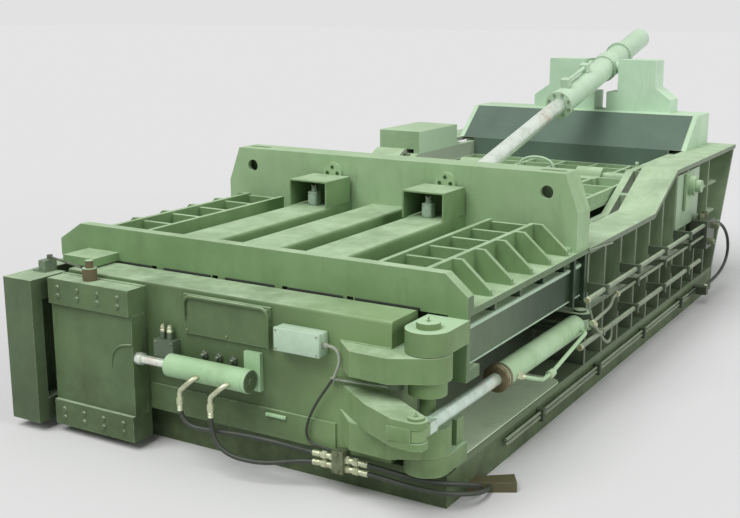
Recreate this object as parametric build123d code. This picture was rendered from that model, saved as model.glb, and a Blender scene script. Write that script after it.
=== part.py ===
from build123d import *
import math
import os

# Layout of the machine in mm: origin on the floor, on the centre line, in the plane of the chamber's front face
chamber_half_w = 800.0
chamber_h = 640.0
chamber_len = 4466.0
press_len = 1319.0
outer_half_w = 1150.0
run_gap = 10.0
fit_gap = 1.0
cut_over = 20.0

# Base and floor
base_plate_t = 40.0
base_h = 150.0
base_inset = 10.0
base_front = 150.0
base_short = 196.0
sill_t = 40.0
bearer_shares = (-0.5, 0.0, 0.5)
floor_t = 30.0
floor_front = 60.0

# Chamber walls and rear side frames
wall_t = 50.0
flange_t = 30.0
flange_w = 240.0
flange_lift = 20.0
slope_rise = 217.0
slope_run = 459.0
slope_ahead = 267.0
stiffener_t = 25.0
stiffener_count = 11
stiffener_inset = 10.0
mid_flange_share = 0.46

# Front rails
rail_h = 175.0
rail_t = 25.0
rail_drop = 55.0
rail_inset = 30.0
rail_post_w = 25.0
rail_post_drop = 260.0
rail_post_shares = (0.853, 0.96)
tick_t = 20.0
tick_count = 6

# Roof over the press chamber
roof_t = 30.0
rib_h = 153.0
rib_t = 25.0
inner_rib_x = 670.0
outer_rib_x = 940.0
rib_end_gap = 90.0
cell_count = 5
cross_rib_drop = 12.0
gusset_flat = 45.0
gusset_foot_h = 28.0
gusset_edge = 22.0
front_plate_t = 60.0
front_top_inset = 110.0
front_chamfer_h = 93.0
front_left_out = 102.0
front_left_inset = 148.0
leg_w = 93.0
leg_t = 30.0
leg_drop = 240.0
leg_block_h = 52.0
leg_block_d = 130.0
notch_w = 36.0
notch_h = 16.0
notch_shares = (-0.543, -0.203, 0.159, 0.471)
roof_beam_w = 240.0
roof_beam_h = 148.0
roof_beam_pitch = 370.0
roof_beam_round = 22.0

# Tall cross beam
beam_depth = 181.0
beam_h = 412.0
beam_top_inset = 87.0
beam_foot_inset = 11.0
beam_chamfer_h = 205.0
beam_t = 30.0
beam_hole_r = 36.0
beam_hole_x = 962.0
beam_hole_drop = 105.0
beam_slot_l = 150.0
beam_slot_w = 45.0
beam_ledge_d = 30.0
beam_ledge_h = 24.0
beam_ledge_x = 560.0
lug_r = 62.0
lug_t = 22.0
lug_drop = 105.0
lug_hole_r = 13.0
lug_hole_out = 34.0

# Switch boxes on the outer roof beams
box_w = 250.0
box_d = 255.0
box_h = 150.0
box_wall = 8.0
box_gap = 24.0
switch_w = 58.0
switch_d = 52.0
switch_h = 80.0
switch_neck_r = 17.0
switch_neck_h = 22.0
switch_roller_r = 16.0
switch_roller_w = 24.0
switch_in = 70.0

# Rear wall, rear deck and trunnion stands
rear_wall_t = 80.0
rear_wall_half_w = 930.0
rear_wall_h = 1290.0
rear_box_d = 260.0
rear_box_ahead = 356.0
rear_lip_ahead = 76.0
rear_box_t = 30.0
rear_deck_t = 30.0
rear_deck_drop = 60.0
deck_rib_t = 24.0
deck_rib_cols = 7
deck_rib_rows = 4
stand_w = 300.0
stand_d = 215.0
stand_front = 90.0
stand_top = 61.0
stand_flare_w = 125.0
stand_flare_h = 90.0
stand_flare_drop = 148.0
stand_step_in = 88.0
stand_step_drop = 192.0

# Lid
lid_len = 1880.0
lid_gap = 20.0
lid_t = 30.0
lid_rib_h = 60.0
lid_rib_t = 24.0
lid_rib_shares = (-0.98, -0.66, -0.33, 0.66, 0.98)
lid_channel = 105.0
lid_cross_count = 6
lid_hinge_up = 70.0
lid_back_gap = 90.0
lid_shaft_r = 42.0
lid_shaft_out = 95.0
lid_knuckle_r = 74.0
lid_knuckle_l = 190.0
lid_knuckle_share = 0.58
lid_box_ahead = 230.0
lid_box_d = 630.0
lid_box_h = 133.0
lid_box_t = 12.0
lid_box_round = 14.0
shaft_plate_w = 170.0
shaft_plate_h = 250.0
shaft_plate_t = 16.0
shaft_collar_r = 66.0
shaft_collar_l = 42.0

# Lid cylinder
lid_cyl_x = 115.0
lid_pin_share = 0.745
lid_pin_up = 95.0
trunnion_back = 134.0
trunnion_z = 1629.0
lid_rod_r = 54.0
lid_eye_r = 66.0
lid_eye_t = 76.0
lid_pin_r = 30.0
lid_pin_head_r = 44.0
lid_pin_head_t = 14.0
lid_tongue_l = 195.0
lid_cheek_t = 30.0
lid_cheek_half_l = 125.0
lid_barrel_r = 92.0
lid_bore_r = 72.0
lid_barrel_front = 1015.0
lid_barrel_back = 310.0
lid_gland_r = 101.0
lid_gland_l = 62.0
lid_collar_r = 110.0
lid_collar_l = 35.0
lid_tail_r = 84.0
lid_tail_l = 560.0
lid_piston_in = 200.0
lid_piston_l = 90.0
trunnion_ring_r = 106.0
trunnion_ring_l = 130.0
trunnion_pin_r = 48.0
trunnion_gap_half = 138.0
feed_tube_r = 13.0
feed_block = 62.0
feed_block_h = 52.0
feed_shares = (0.84, 0.45)

# Ram and main cylinder
ram_len = 1080.0
ram_front_t = 80.0
ram_wall_t = 60.0
ram_top_gap = 50.0
ram_rest_gap = 86.0
ram_floor_gap = 3.0
main_barrel_r = 205.0
main_bore_r = 150.0
main_rod_r = 128.0
main_gland_gap = 70.0
main_back_l = 1600.0
main_cap_t = 60.0
main_flange_r = 300.0
main_flange_t = 60.0
main_rise = 300.0
main_piston_l = 110.0
main_end_gap = 60.0

# Gate slab and hinge
gate_t = 230.0
gate_back_gap = 8.0
gate_right_x = 914.0
gate_left_x = 962.0
gate_bottom_gap = 12.0
gate_top_z = 827.0
gate_round = 14.0
hinge_x = 1060.0
hinge_y = -185.0
hinge_pin_r = 35.0
hinge_head_r = 52.0
hinge_head_h = 28.0
lug_out_r = 100.0
upper_lug_z = 712.0
upper_lug_t = 100.0
lower_lug_t = 82.0
arm_gap = 4.0
upper_arm_t = 112.0
lower_arm_t = 126.0
arm_end_r = 104.0
arm_root_x = 655.0
arm_knee_x = 772.0
arm_knee_out = 114.0
arm_front_x = 962.0
arm_front_out = 120.0
arm_back_share = 0.71
knuckle_r = 84.0
knuckle_l = 70.0
fin_t = 25.0
fin_d = 66.0
fin_h = 200.0
fin_inset = 18.0
strip_t = 10.0
strip_h = 130.0
strip_left_x = -430.0
strip_right_x = 635.0

# Gate lever and gate cylinder
lever_tip_x = 1145.0
lever_tip_y = -445.0
lever_plate_t = 30.0
lever_slot_h = 58.0
lever_tip_r = 50.0
lever_root_x = 662.0
lever_knee_x = 880.0
lever_knee_out = 165.0
lever_nose_x = 1055.0
lever_nose_out = 252.0
lever_web_t = 28.0
lever_web_end_share = 0.92
lever_side_share = 0.70
lever_pin_r = 22.0
lever_pin_head_r = 34.0
lever_pin_head_t = 12.0
gate_eye_r = 44.0
gate_eye_t = 50.0
gate_rod_r = 30.0
gate_tongue_l = 132.0
gate_rear_y = 1400.0
gate_barrel_r = 58.0
gate_bore_r = 46.0
gate_barrel_front = 1080.0
gate_barrel_back = 80.0
gate_gland_r = 64.0
gate_gland_l = 52.0
gate_piston_in = 200.0
gate_piston_l = 60.0
rear_eye_r = 48.0
rear_eye_t = 60.0
rear_ear_t = 30.0
rear_ear_half_w = 62.0
rear_pin_r = 25.0
rear_pin_head_t = 12.0
barrel_pipe_r = 10.0
barrel_pipe_bend = 45.0
barrel_pipe_start = 100.0
barrel_pipe_end = 980.0
barrel_pipe_out = 98.0
barrel_pipe_drop = 84.0
barrel_pipe_shares = (0.11, 0.26, 0.38, 0.92)
barrel_fall_share = 0.45
barrel_nut_r = 19.0
barrel_nut_l = 52.0

# Lock on the gate's left end
jaw_right_x = -447.0
jaw_left_x = -973.0
jaw_front = 132.0
jaw_back_t = 24.0
upper_jaw_z = 679.0
upper_jaw_h = 128.0
lower_jaw_z = 45.0
lower_jaw_h = 130.0
jaw_bolt_r = 13.0
jaw_bolt_h = 7.0
jaw_bolt_cols = 4
jaw_bolt_rows = 2
lock_plate_t = 86.0
lock_gap = 3.0
lock_travel = 120.0
post_gap = 56.0
post_w = 192.0
post_d = 240.0
post_front = 430.0
post_z = 50.0
post_h = 745.0
pocket_gap = 12.0
tie_w = 110.0
tie_h = 540.0
lock_axis_z = 464.0
lock_barrel_r = 55.0
lock_barrel_l = 430.0
lock_barrel_x = -246.0
lock_cap_l = 40.0
lock_cap_r = 50.0
lock_rod_r = 21.0
lock_nut_r = 30.0
lock_nut_l = 34.0
lock_rod_in = 204.0
lock_bore_r = 40.0
lock_bracket_w = 90.0
lock_bracket_in = 34.0
lock_bracket_h = 182.0
lock_bracket_drop = 64.0
sensor_w = 118.0
sensor_d = 54.0
sensor_h = 94.0
sensor_rise = 10.0
sensor_cap_h = 42.0
sensor_cap_r = 14.0
sensor_cap_shares = (0.32, 0.68)
arm_switch_x = 930.0
arm_switch_w = 58.0
arm_switch_d = 40.0
arm_switch_h = 42.0
arm_switch_out = 24.0

# Small pieces on the gate's front
cover_x = -205.0
cover_w = 500.0
cover_h = 190.0
cover_t = 14.0
cover_drop = 24.0
hoop_r = 8.0
hoop_bend = 40.0
hoop_leg_share = 0.55
stud_r = 9.0
stud_l = 36.0
nut_r = 21.0
nut_h = 14.0
nut_sides = 6
stud_count = 3
stud_pitch = 86.0
stud_x = -97.0
stud_z = 518.0
clip_x = 262.0
clip_z = 290.0
clip_l = 112.0
clip_h = 16.0
clip_t = 12.0
jbox_x = 357.0
jbox_z = 634.0
jbox_w = 240.0
jbox_h = 108.0
jbox_d = 78.0
jbox_round = 8.0
gland_r = 12.0
gland_l = 26.0
gland_in_share = 0.55
bulkhead_x = 645.0
bulkhead_z = 112.0
bulkhead_w = 60.0
bulkhead_h = 104.0
bulkhead_d = 62.0
union_r = 19.0
union_l = 78.0
union_shares = (0.2, 0.6)

# Lock switch at the upper left corner
corner_lug_w = 212.0
corner_lug_d = 178.0
corner_lug_h = 42.0
corner_lug_x = -1057.0
corner_lug_lift = 8.0
lock_switch_x = -1093.0
lock_switch_w = 46.0
lock_switch_d = 80.0
lock_switch_h = 60.0
switch_bracket_w = 84.0
switch_bracket_t = 10.0
lever_rod_r = 6.0
lever_rod_l = 325.0
lever_turn = 16.0
lever_hub_r = 15.0
lever_hub_h = 20.0
collar_x = -752.0
collar_out = 38.0
collar_r = 36.0
collar_h = 62.0
collar_cap_r = 20.0
collar_cap_h = 38.0

# Pipes and hoses on the right side
pipe_out = 85.0
pipe_z = 622.0
pipe_thin_z = 545.0
pipe_low_z = 385.0
pipe_r = 14.0
pipe_thin_r = 9.0
pipe_start = 1247.0
pipe_past = 160.0
pipe_thin_start = 1940.0
pipe_low_start = 1640.0
pipe_low_short = 60.0
base_pipe_r = 8.0
base_pipe_gap = 24.0
base_pipe_count = 2
base_pipe_z = 96.0
base_pipe_front = 420.0
base_pipe_past = 180.0
end_block_w = 100.0
end_block_d = 60.0
end_block_h = 56.0
clamp_w = 34.0
clamp_t = 12.0
clamp_count = 4
clamp_every = 2
valve_w = 120.0
valve_d = 200.0
valve_h = 195.0
valve_drop = 167.0
valve_fit_r = 20.0
valve_fit_l = 44.0
valve_fit_shares = (0.25, 0.75)
trunk_l = 195.0
trunk_skew = 117.0
trunk_d = 82.0
trunk_h = 48.0
trunk_y = 40.0
hose_r = 11.0
cable_r = 6.0
bend_share = 0.45
mid_share = 0.5
elbow_r = 12.0
elbow_collar_r = 17.0
elbow_collar_l = 30.0
elbow_out = 88.0
elbow_lean = 78.0
elbow_fall = 68.0
elbow_tail = 62.0
elbow_bend = 34.0
elbow_drop = 10.0
elbow_xs = (-38.0, 141.0)
lock_hose_a_points = [(-116, -405, 324), (-116, -405, 290), (-104, -404, 254), (-76, -401, 228), (-36, -394, 216),
                      (60, -376, 214), (209, -352, 217), (354, -333, 211), (462, -300, 190), (522, -274, 175.5),
                      (567, -269, 174.4)]
lock_hose_b_points = [(63, -405, 324), (64, -407, 268), (78, -409, 196), (120, -406, 146), (185, -395, 119),
                      (270, -376, 110), (345, -354, 112), (432, -314, 124), (510, -278, 132), (567, -269, 132.8)]
feed_hose_a_points = [(783, -269, 174.4), (855, -269, 174.4), (940, -264, 166), (1022, -248, 154),
                      (1096, -218, 143), (1154, -172, 130), (1188, -112, 112), (1203, -46, 86), (1208, 14, 58),
                      (1195, 73, 28)]
feed_hose_b_points = [(783, -269, 132.8), (855, -269, 132.8), (945, -267, 126), (1035, -255, 116),
                      (1116, -228, 104), (1182, -180, 91), (1222, -116, 76), (1240, -46, 58), (1244, 22, 40),
                      (1232, 95, 26)]
cable_points = [(623, -281, 688), (652, -283, 687), (675, -285, 672), (685, -287, 643), (680, -288, 602),
                (650, -285, 545), (603, -279, 482), (556, -273, 416), (518, -269, 350), (496, -267, 292),
                (492, -267, 254), (504, -267, 224), (534, -267, 207), (645, -269, 204)]
loop_hose_offsets = [(1215, 200, 15), (1225, 290, 18), (1234, 400, 0), (1242, 520, -45), (1247, 630, -112),
                     (1249, 706, -196), (1246, 732, -285), (1239, 694, -362), (1229, 596, -414),
                     (1218, 455, -440), (1210, 330, -450), (1207, 240, -452)]

# Levels and lines worked out from the sizes above
floor_z = base_h + floor_t
roof_z = floor_z + chamber_h
roof_top = roof_z + roof_t
rib_top = roof_top + rib_h
base_half_w = outer_half_w - base_inset
wall_out = chamber_half_w + wall_t
beam_back = press_len + beam_depth
beam_top = roof_top + beam_h
flange_low = roof_z + flange_lift
flange_high = flange_low + slope_rise
lid_front = beam_back + lid_gap
lid_hinge_y = lid_front + lid_len
lid_hinge_z = roof_top + lid_hinge_up
lid_top = roof_top + lid_t
lid_half_w = chamber_half_w - run_gap
slope_top_y = lid_hinge_y - slope_ahead
slope_low_y = slope_top_y - slope_run
rear_back = chamber_len + rear_wall_t
rear_top_back = chamber_len + rear_box_d
base_end = chamber_len - base_short
lid_pin_y = lid_hinge_y - lid_pin_share * lid_len
lid_pin_z = lid_hinge_z + lid_pin_up
trunnion_y = chamber_len + trunnion_back
main_z = floor_z + main_rise
gate_back = -gate_back_gap
gate_front = gate_back - gate_t
gate_bottom = floor_z + gate_bottom_gap
upper_arm_z = upper_lug_z - arm_gap - upper_arm_t
lower_lug_z = floor_z
lower_arm_z = lower_lug_z + lower_lug_t + arm_gap
lever_z = lower_arm_z + lower_arm_t
lever_slot_z = lever_z + lever_plate_t
lever_h = 2 * lever_plate_t + lever_slot_h
gate_axis_z = lever_slot_z + lever_slot_h / 2
jaw_y = gate_front - jaw_back_t
lock_front = gate_front - jaw_front
lock_plate_y = jaw_y - lock_gap
lock_axis_y = jaw_y - lock_barrel_r
pipe_x = outer_half_w + pipe_out
pipe_end = lid_hinge_y + pipe_past
base_pipe_end = pipe_end + base_pipe_past
rear_deck_z = lid_hinge_z - rear_deck_drop - rear_deck_t
stiffener_pitch = (base_end - beam_back - stiffener_t) / (stiffener_count - 1)
loop_hose_points = [(x, pipe_end + y, pipe_low_z + valve_h + z) for x, y, z in loop_hose_offsets]


def slab(x0, x1, y0, y1, z0, z1):
    """Box between two corners."""
    low = (Align.MIN, Align.MIN, Align.MIN)
    return Pos(min(x0, x1), min(y0, y1), min(z0, z1)) * Box(abs(x1 - x0), abs(y1 - y0), abs(z1 - z0), align=low)


def prism_x(points, x0, x1):
    """Outline in Y and Z, pushed along X."""
    face = make_face(Plane.YZ * Polyline(*points, close=True))
    return Pos(min(x0, x1), 0, 0) * extrude(face, abs(x1 - x0), dir=(1, 0, 0))


def prism_y(points, y0, y1):
    """Outline in X and Z, pushed along Y."""
    face = make_face(Polyline(*[(x, 0, z) for x, z in points], close=True))
    return Pos(0, min(y0, y1), 0) * extrude(face, abs(y1 - y0), dir=(0, 1, 0))


def prism_z(points, z0, z1):
    """Outline in X and Y, pushed along Z."""
    face = make_face(Polyline(*points, close=True))
    return Pos(0, 0, min(z0, z1)) * extrude(face, abs(z1 - z0), dir=(0, 0, 1))


def bar(start, direction, radius, length):
    """Round bar from a point along a direction."""
    low = (Align.CENTER, Align.CENTER, Align.MIN)
    return Plane(origin=start, z_dir=direction) * Cylinder(radius, length, align=low)


def tube(points, radius):
    """Round tube on straight runs joined by the largest tangent arcs."""
    line = [Vector(*p) for p in points]
    radii = []
    for a, b, c in zip(line, line[1:], line[2:]):
        half_turn = math.radians((b - a).get_angle(c - b)) / 2
        radii.append(bend_share * min((b - a).length, (c - b).length) / math.tan(half_turn))
    path = FilletPolyline(*line, radius=radii)
    section = Plane(origin=line[0], z_dir=line[1] - line[0]) * Circle(radius)
    print("tube radii", [round(r) for r in radii], "length", round(path.length))
    return sweep(section, path=path)


def bent_bar(points, radius, bend):
    """Round bar on straight runs with one bend radius at every corner."""
    line = [Vector(*p) for p in points]
    section = Plane(origin=line[0], z_dir=line[1] - line[0]) * Circle(radius)
    return sweep(section, path=FilletPolyline(*line, radius=bend))


def flange_z(y):
    """Height of the side flange's top at a place along the machine."""
    share = min(max((y - slope_low_y) / slope_run, 0), 1)
    return flange_low + slope_rise * share


def base_frame():
    """Bottom plate with sills, side bearers and inner bearers."""
    frame = slab(-base_half_w, base_half_w, -base_front, base_end, 0, base_plate_t)
    for y in (-base_front, base_end - sill_t):
        frame += slab(-base_half_w, base_half_w, y, y + sill_t, base_plate_t, base_h)
    for x in (-base_half_w, base_half_w - sill_t):
        frame += slab(x, x + sill_t, -base_front, base_end, base_plate_t, base_h)
    for share in bearer_shares:
        x = share * base_half_w
        frame += slab(x - sill_t / 2, x + sill_t / 2, -base_front, base_end, base_plate_t, base_h)
    return frame


def floor_plate():
    """Deck over the base, narrower behind it, the chamber's floor."""
    deck = slab(-base_half_w, base_half_w, -floor_front, base_end, base_h, floor_z)
    return deck + slab(-wall_out, wall_out, base_end, rear_back, base_h, floor_z)


def wall(side):
    """Chamber side plate with the raised rear end and the shaft's hole."""
    top = [(y, flange_z(y) - flange_t) for y in (chamber_len, slope_top_y, slope_low_y, beam_back)]
    outline = [(0, floor_z), (chamber_len, floor_z)] + top + [(beam_back, roof_z), (0, roof_z)]
    plate = prism_x(outline, side * chamber_half_w, side * wall_out)
    return plate - shaft_cut()


def shaft_cut():
    """Room for the lid's shaft."""
    start = (-outer_half_w - cut_over, lid_hinge_y, lid_hinge_z)
    return bar(start, (1, 0, 0), lid_shaft_r + fit_gap, 2 * (outer_half_w + cut_over))


def side_frame(side):
    """Rear side: top flange, middle flange and upright stiffeners, the last one leaning back."""
    marks = (beam_back, slope_low_y, slope_top_y, rear_top_back)
    top = [(y, flange_z(y)) for y in marks]
    under = [(y, flange_z(y) - flange_t) for y in reversed(marks)]
    frame = prism_x(top + under, side * (outer_half_w - flange_w), side * outer_half_w)
    edge = side * (outer_half_w - stiffener_inset)
    for i in range(stiffener_count):
        y0 = beam_back + i * stiffener_pitch
        y1 = y0 + stiffener_t
        lean = rear_top_back - base_end if i == stiffener_count - 1 else 0
        top_back, top_front = [(y + lean, flange_z(y) - flange_t) for y in (y1, y0)]
        web = [(y0, floor_z), (y1, floor_z), top_back, top_front]
        frame += prism_x(web, side * wall_out, edge)
    mid_z = floor_z + mid_flange_share * (flange_low - floor_z)
    mid_rise = (mid_z - floor_z) / (flange_high - flange_t - floor_z)
    mid_end = base_end + mid_rise * (rear_top_back - base_end)
    frame += slab(side * wall_out, edge, beam_back, mid_end, mid_z, mid_z + stiffener_t)
    return frame + front_rail(side) - shaft_cut()


def front_rail(side):
    """Angle rail beside the press chamber with its short upright ticks and two posts."""
    x1 = side * (outer_half_w - rail_inset)
    z1 = roof_z - rail_drop
    end = beam_back
    rail = slab(side * wall_out, x1, front_plate_t, end, z1 - rail_t, z1)
    rail += slab(x1 - side * rail_t, x1, front_plate_t, end, z1 - rail_h, z1)
    pitch = (end - front_plate_t - tick_t) / (tick_count - 1)
    for i in range(tick_count):
        y = front_plate_t + i * pitch
        rail += slab(side * wall_out, x1, y, y + tick_t, z1, roof_z)
    for share in rail_post_shares:
        y = share * end
        rail += slab(x1, x1 + side * rail_post_w, y, y + rail_post_w, roof_z - rail_post_drop, roof_z)
    return rail


def roof_plate():
    """Plate over the press chamber."""
    return slab(-outer_half_w, outer_half_w, front_plate_t, beam_back, roof_z, roof_top)


def roof_ribs(side):
    """Long ribs with cells between them and sloped gussets outside."""
    end = press_len - rib_end_gap
    inner = side * inner_rib_x
    outer = side * outer_rib_x
    foot = side * (outer_half_w - gusset_edge)
    ribs = slab(inner, inner + side * rib_t, front_plate_t, end, roof_top, rib_top)
    ribs += slab(outer, outer - side * rib_t, front_plate_t, end, roof_top, rib_top)
    pitch = (end - front_plate_t) / cell_count
    for i in range(1, cell_count + 1):
        y = front_plate_t + i * pitch - rib_t
        ribs += slab(inner, outer, y, y + rib_t, roof_top, rib_top - cross_rib_drop)
        slope = [(outer, roof_top), (outer, rib_top), (outer + side * gusset_flat, rib_top)]
        slope += [(foot, roof_top + gusset_foot_h), (foot, roof_top)]
        ribs += prism_y(slope, y, y + rib_t)
    return ribs


def roof_front_plate():
    """Front plate of the roof with chamfered corners, notches and two legs."""
    top = outer_half_w - front_top_inset
    left = -outer_half_w - front_left_out
    shoulder = rib_top - front_chamfer_h
    plate = prism_y([(left, roof_z), (left, shoulder), (left + front_left_inset, rib_top), (top, rib_top),
                     (outer_half_w, shoulder), (outer_half_w, roof_z)], 0, front_plate_t)
    leg_z = roof_z - leg_drop
    plate += slab(outer_half_w - leg_w, outer_half_w, 0, leg_block_d, leg_z - leg_block_h, leg_z)
    for side in (-1, 1):
        x = side * outer_half_w
        plate += slab(x - side * leg_w, x, 0, leg_t, leg_z, roof_z)
    for share in notch_shares:
        x = share * outer_half_w
        plate -= slab(x, x + notch_w, -cut_over, front_plate_t + cut_over, roof_z - cut_over, roof_z + notch_h)
    return plate


def roof_beam(place):
    """Box beam with rounded edges along the roof."""
    x = place * roof_beam_pitch
    half = roof_beam_w / 2
    solid = slab(x - half, x + half, front_plate_t, press_len, roof_top, roof_top + roof_beam_h)
    edges = solid.edges().filter_by(Axis.Y).group_by(Axis.Z)[-1]
    return fillet(edges, roof_beam_round)


def cross_beam():
    """Tall hollow beam across the roof, with lifting holes near its ends and two lugs on its face."""
    foot = outer_half_w - beam_foot_inset
    top = outer_half_w - beam_top_inset
    knee = beam_top - beam_chamfer_h
    outline = [(-foot, roof_top), (-foot, knee), (-top, beam_top), (top, beam_top), (foot, knee),
               (foot, roof_top)]
    beam = prism_y(outline, press_len, beam_back)
    hollow = [(-foot + beam_t, roof_top - cut_over), (-foot + beam_t, knee - beam_t), (-top, beam_top - beam_t),
              (top, beam_top - beam_t), (foot - beam_t, knee - beam_t), (foot - beam_t, roof_top - cut_over)]
    beam -= prism_y(hollow, press_len + beam_t, beam_back - beam_t)
    for side in (-1, 1):
        hole = (side * beam_hole_x, press_len - cut_over, beam_top - beam_hole_drop)
        beam -= bar(hole, (0, 1, 0), beam_hole_r, beam_t + 2 * cut_over)
        x = side * beam_hole_x
        y = press_len + beam_depth / 2
        slot = SlotOverall(beam_slot_l, beam_slot_w)
        beam -= Pos(x, y, beam_top - beam_t - cut_over) * extrude(slot, beam_t + 2 * cut_over)
        ledge_end = side * (foot - beam_t)
        ledge_top = roof_top + beam_ledge_h
        beam += slab(side * beam_ledge_x, ledge_end, press_len - beam_ledge_d, press_len, roof_top, ledge_top)
        beam += beam_lug(side)
    return beam


def beam_lug(side):
    """Arch-shaped bolted lug on the cross beam's front face, above a switch box."""
    centre = (side * roof_beam_pitch, press_len, beam_top - lug_drop)
    lug = bar(centre, (0, -1, 0), lug_r, lug_t)
    for turn in (-1, 0, 1):
        x = centre[0] + turn * lug_hole_out
        z = centre[2] + (1 - abs(turn)) * lug_hole_out
        lug -= bar((x, press_len, z), (0, -1, 0), lug_hole_r, lug_t)
    return lug


def switch_box(side):
    """Folded cover, open at the front and below."""
    x = side * roof_beam_pitch
    y1 = press_len - box_gap
    y0 = y1 - box_d
    z0 = roof_top + roof_beam_h
    cover = slab(x - box_w / 2, x + box_w / 2, y0, y1, z0, z0 + box_h)
    inner = box_w / 2 - box_wall
    return cover - slab(x - inner, x + inner, y0 - cut_over, y1 - box_wall, z0 - cut_over, z0 + box_h - box_wall)


def limit_switch(side):
    """Switch body with neck and roller on the roof beam, inside its box."""
    x = side * roof_beam_pitch
    y = press_len - box_gap - box_d + switch_in
    z = roof_top + roof_beam_h
    body = slab(x - switch_w / 2, x + switch_w / 2, y - switch_d / 2, y + switch_d / 2, z, z + switch_h)
    body += bar((x, y, z + switch_h), (0, 0, 1), switch_neck_r, switch_neck_h)
    roller_z = z + switch_h + switch_neck_h
    return body + bar((x - switch_roller_w / 2, y, roller_z), (1, 0, 0), switch_roller_r, switch_roller_w)


def rear_deck():
    """Plate behind the lid with a grid of ribs on it."""
    y0 = lid_hinge_y + lid_knuckle_r + run_gap
    y1 = chamber_len - rear_box_ahead
    half = chamber_half_w
    top = rear_deck_z + rear_deck_t
    deck = slab(-half, half, y0, chamber_len, rear_deck_z, top)
    for i in range(deck_rib_cols):
        x = -half + i * (2 * half - deck_rib_t) / (deck_rib_cols - 1)
        deck += slab(x, x + deck_rib_t, y0, y1, top, lid_hinge_z)
    for i in range(deck_rib_rows):
        y = y0 + i * (y1 - y0 - deck_rib_t) / (deck_rib_rows - 1)
        deck += slab(-half, half, y, y + deck_rib_t, top, lid_hinge_z)
    return deck


def rear_wall():
    """End wall with a hole for the main cylinder, under a hollow box with a sloped front."""
    inside_top = rear_wall_h - rear_box_t
    wall_solid = slab(-chamber_half_w, chamber_half_w, chamber_len, rear_back, floor_z, inside_top)
    wall_solid += slab(-wall_out, wall_out, chamber_len, rear_back, floor_z, flange_high - flange_t)
    hole = (0, chamber_len - cut_over, main_z)
    wall_solid -= bar(hole, (0, 1, 0), main_barrel_r + fit_gap, rear_wall_t + 2 * cut_over)
    foot = chamber_len - rear_box_ahead
    lip = chamber_len - rear_lip_ahead
    back = rear_top_back - rear_box_t
    below = flange_high - cut_over
    outline = [(foot, flange_high), (lip, rear_wall_h), (rear_top_back, rear_wall_h), (rear_top_back, flange_high)]
    hollow = [(foot + rear_box_t, below), (foot + rear_box_t, flange_high), (lip + rear_box_t, inside_top),
              (back, inside_top), (back, below)]
    inner = rear_wall_half_w - rear_box_t
    box = prism_x(outline, -rear_wall_half_w, rear_wall_half_w) - prism_x(hollow, -inner, inner)
    deck_top = rear_deck_z + rear_deck_t
    panel = slab(-chamber_half_w, chamber_half_w, foot, foot + rear_box_t, deck_top, flange_high)
    return wall_solid + box + panel


def trunnion_stand(side):
    """Flared bracket on the rear box that holds one trunnion pin, with a foot under the cylinder."""
    inner = lid_cyl_x + side * trunnion_gap_half
    foot = inner - side * stand_step_in
    outer = inner + side * stand_w
    flare = outer + side * stand_flare_w
    top = trunnion_z + stand_top
    step_z = trunnion_z - stand_step_drop
    flare_z = trunnion_z - stand_flare_drop
    outline = [(foot, rear_wall_h), (foot, step_z), (inner, step_z), (inner, top), (outer, top),
               (outer, flare_z), (flare, flare_z - stand_flare_h), (flare, rear_wall_h)]
    stand = prism_y(outline, trunnion_y - stand_front, trunnion_y - stand_front + stand_d)
    hole = (inner - side * cut_over, trunnion_y, trunnion_z)
    return stand - bar(hole, (side, 0, 0), trunnion_pin_r + fit_gap, stand_w + 2 * cut_over)


def lid_shaft():
    """Shaft through both walls, with end collars outside the bearing plates."""
    reach = outer_half_w + lid_shaft_out
    shaft = bar((-reach, lid_hinge_y, lid_hinge_z), (1, 0, 0), lid_shaft_r, 2 * reach)
    start = outer_half_w + shaft_plate_t
    for side in (-1, 1):
        shaft += bar((side * start, lid_hinge_y, lid_hinge_z), (side, 0, 0), shaft_collar_r, shaft_collar_l)
    return shaft


def shaft_plate(side):
    """Bearing plate outside the side frame."""
    x0 = side * outer_half_w
    z1 = lid_hinge_z + shaft_plate_w / 2
    plate = slab(x0, x0 + side * shaft_plate_t, lid_hinge_y - shaft_plate_w / 2, lid_hinge_y + shaft_plate_w / 2,
                 z1 - shaft_plate_h, z1)
    hole = (x0 - side * cut_over, lid_hinge_y, lid_hinge_z)
    return plate - bar(hole, (side, 0, 0), lid_shaft_r + fit_gap, shaft_plate_t + 2 * cut_over)


def lid_rib_places():
    """Rib lines over the lid's width, with a free channel under the lid cylinder."""
    fixed = [share * lid_half_w for share in lid_rib_shares]
    return sorted(fixed + [lid_cyl_x - lid_channel, lid_cyl_x + lid_channel])


def lid_panel():
    """Lid plate with long and cross ribs and two knuckles on the shaft."""
    end = lid_hinge_y - lid_back_gap
    rib_z = lid_top + lid_rib_h
    lid = slab(-lid_half_w, lid_half_w, lid_front, end, roof_top, lid_top)
    places = lid_rib_places()
    for x in places:
        lid += slab(x - lid_rib_t / 2, x + lid_rib_t / 2, lid_front, end, lid_top, rib_z)
    pitch = (end - lid_front - lid_rib_t) / (lid_cross_count - 1)
    for x0, x1 in zip(places, places[1:]):
        if x0 < lid_cyl_x < x1:
            continue
        for i in range(lid_cross_count):
            y = lid_front + i * pitch
            lid += slab(x0, x1, y, y + lid_rib_t, lid_top, rib_z)
    for side in (-1, 1):
        x = side * lid_knuckle_share * lid_half_w
        start = (x - lid_knuckle_l / 2, lid_hinge_y, lid_hinge_z)
        lid += slab(start[0], start[0] + lid_knuckle_l, end - lid_back_gap, lid_hinge_y, lid_top, rib_z)
        lid += bar(start, (1, 0, 0), lid_knuckle_r, lid_knuckle_l)
        lid -= bar(start, (1, 0, 0), lid_shaft_r + fit_gap, lid_knuckle_l)
    return lid


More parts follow.
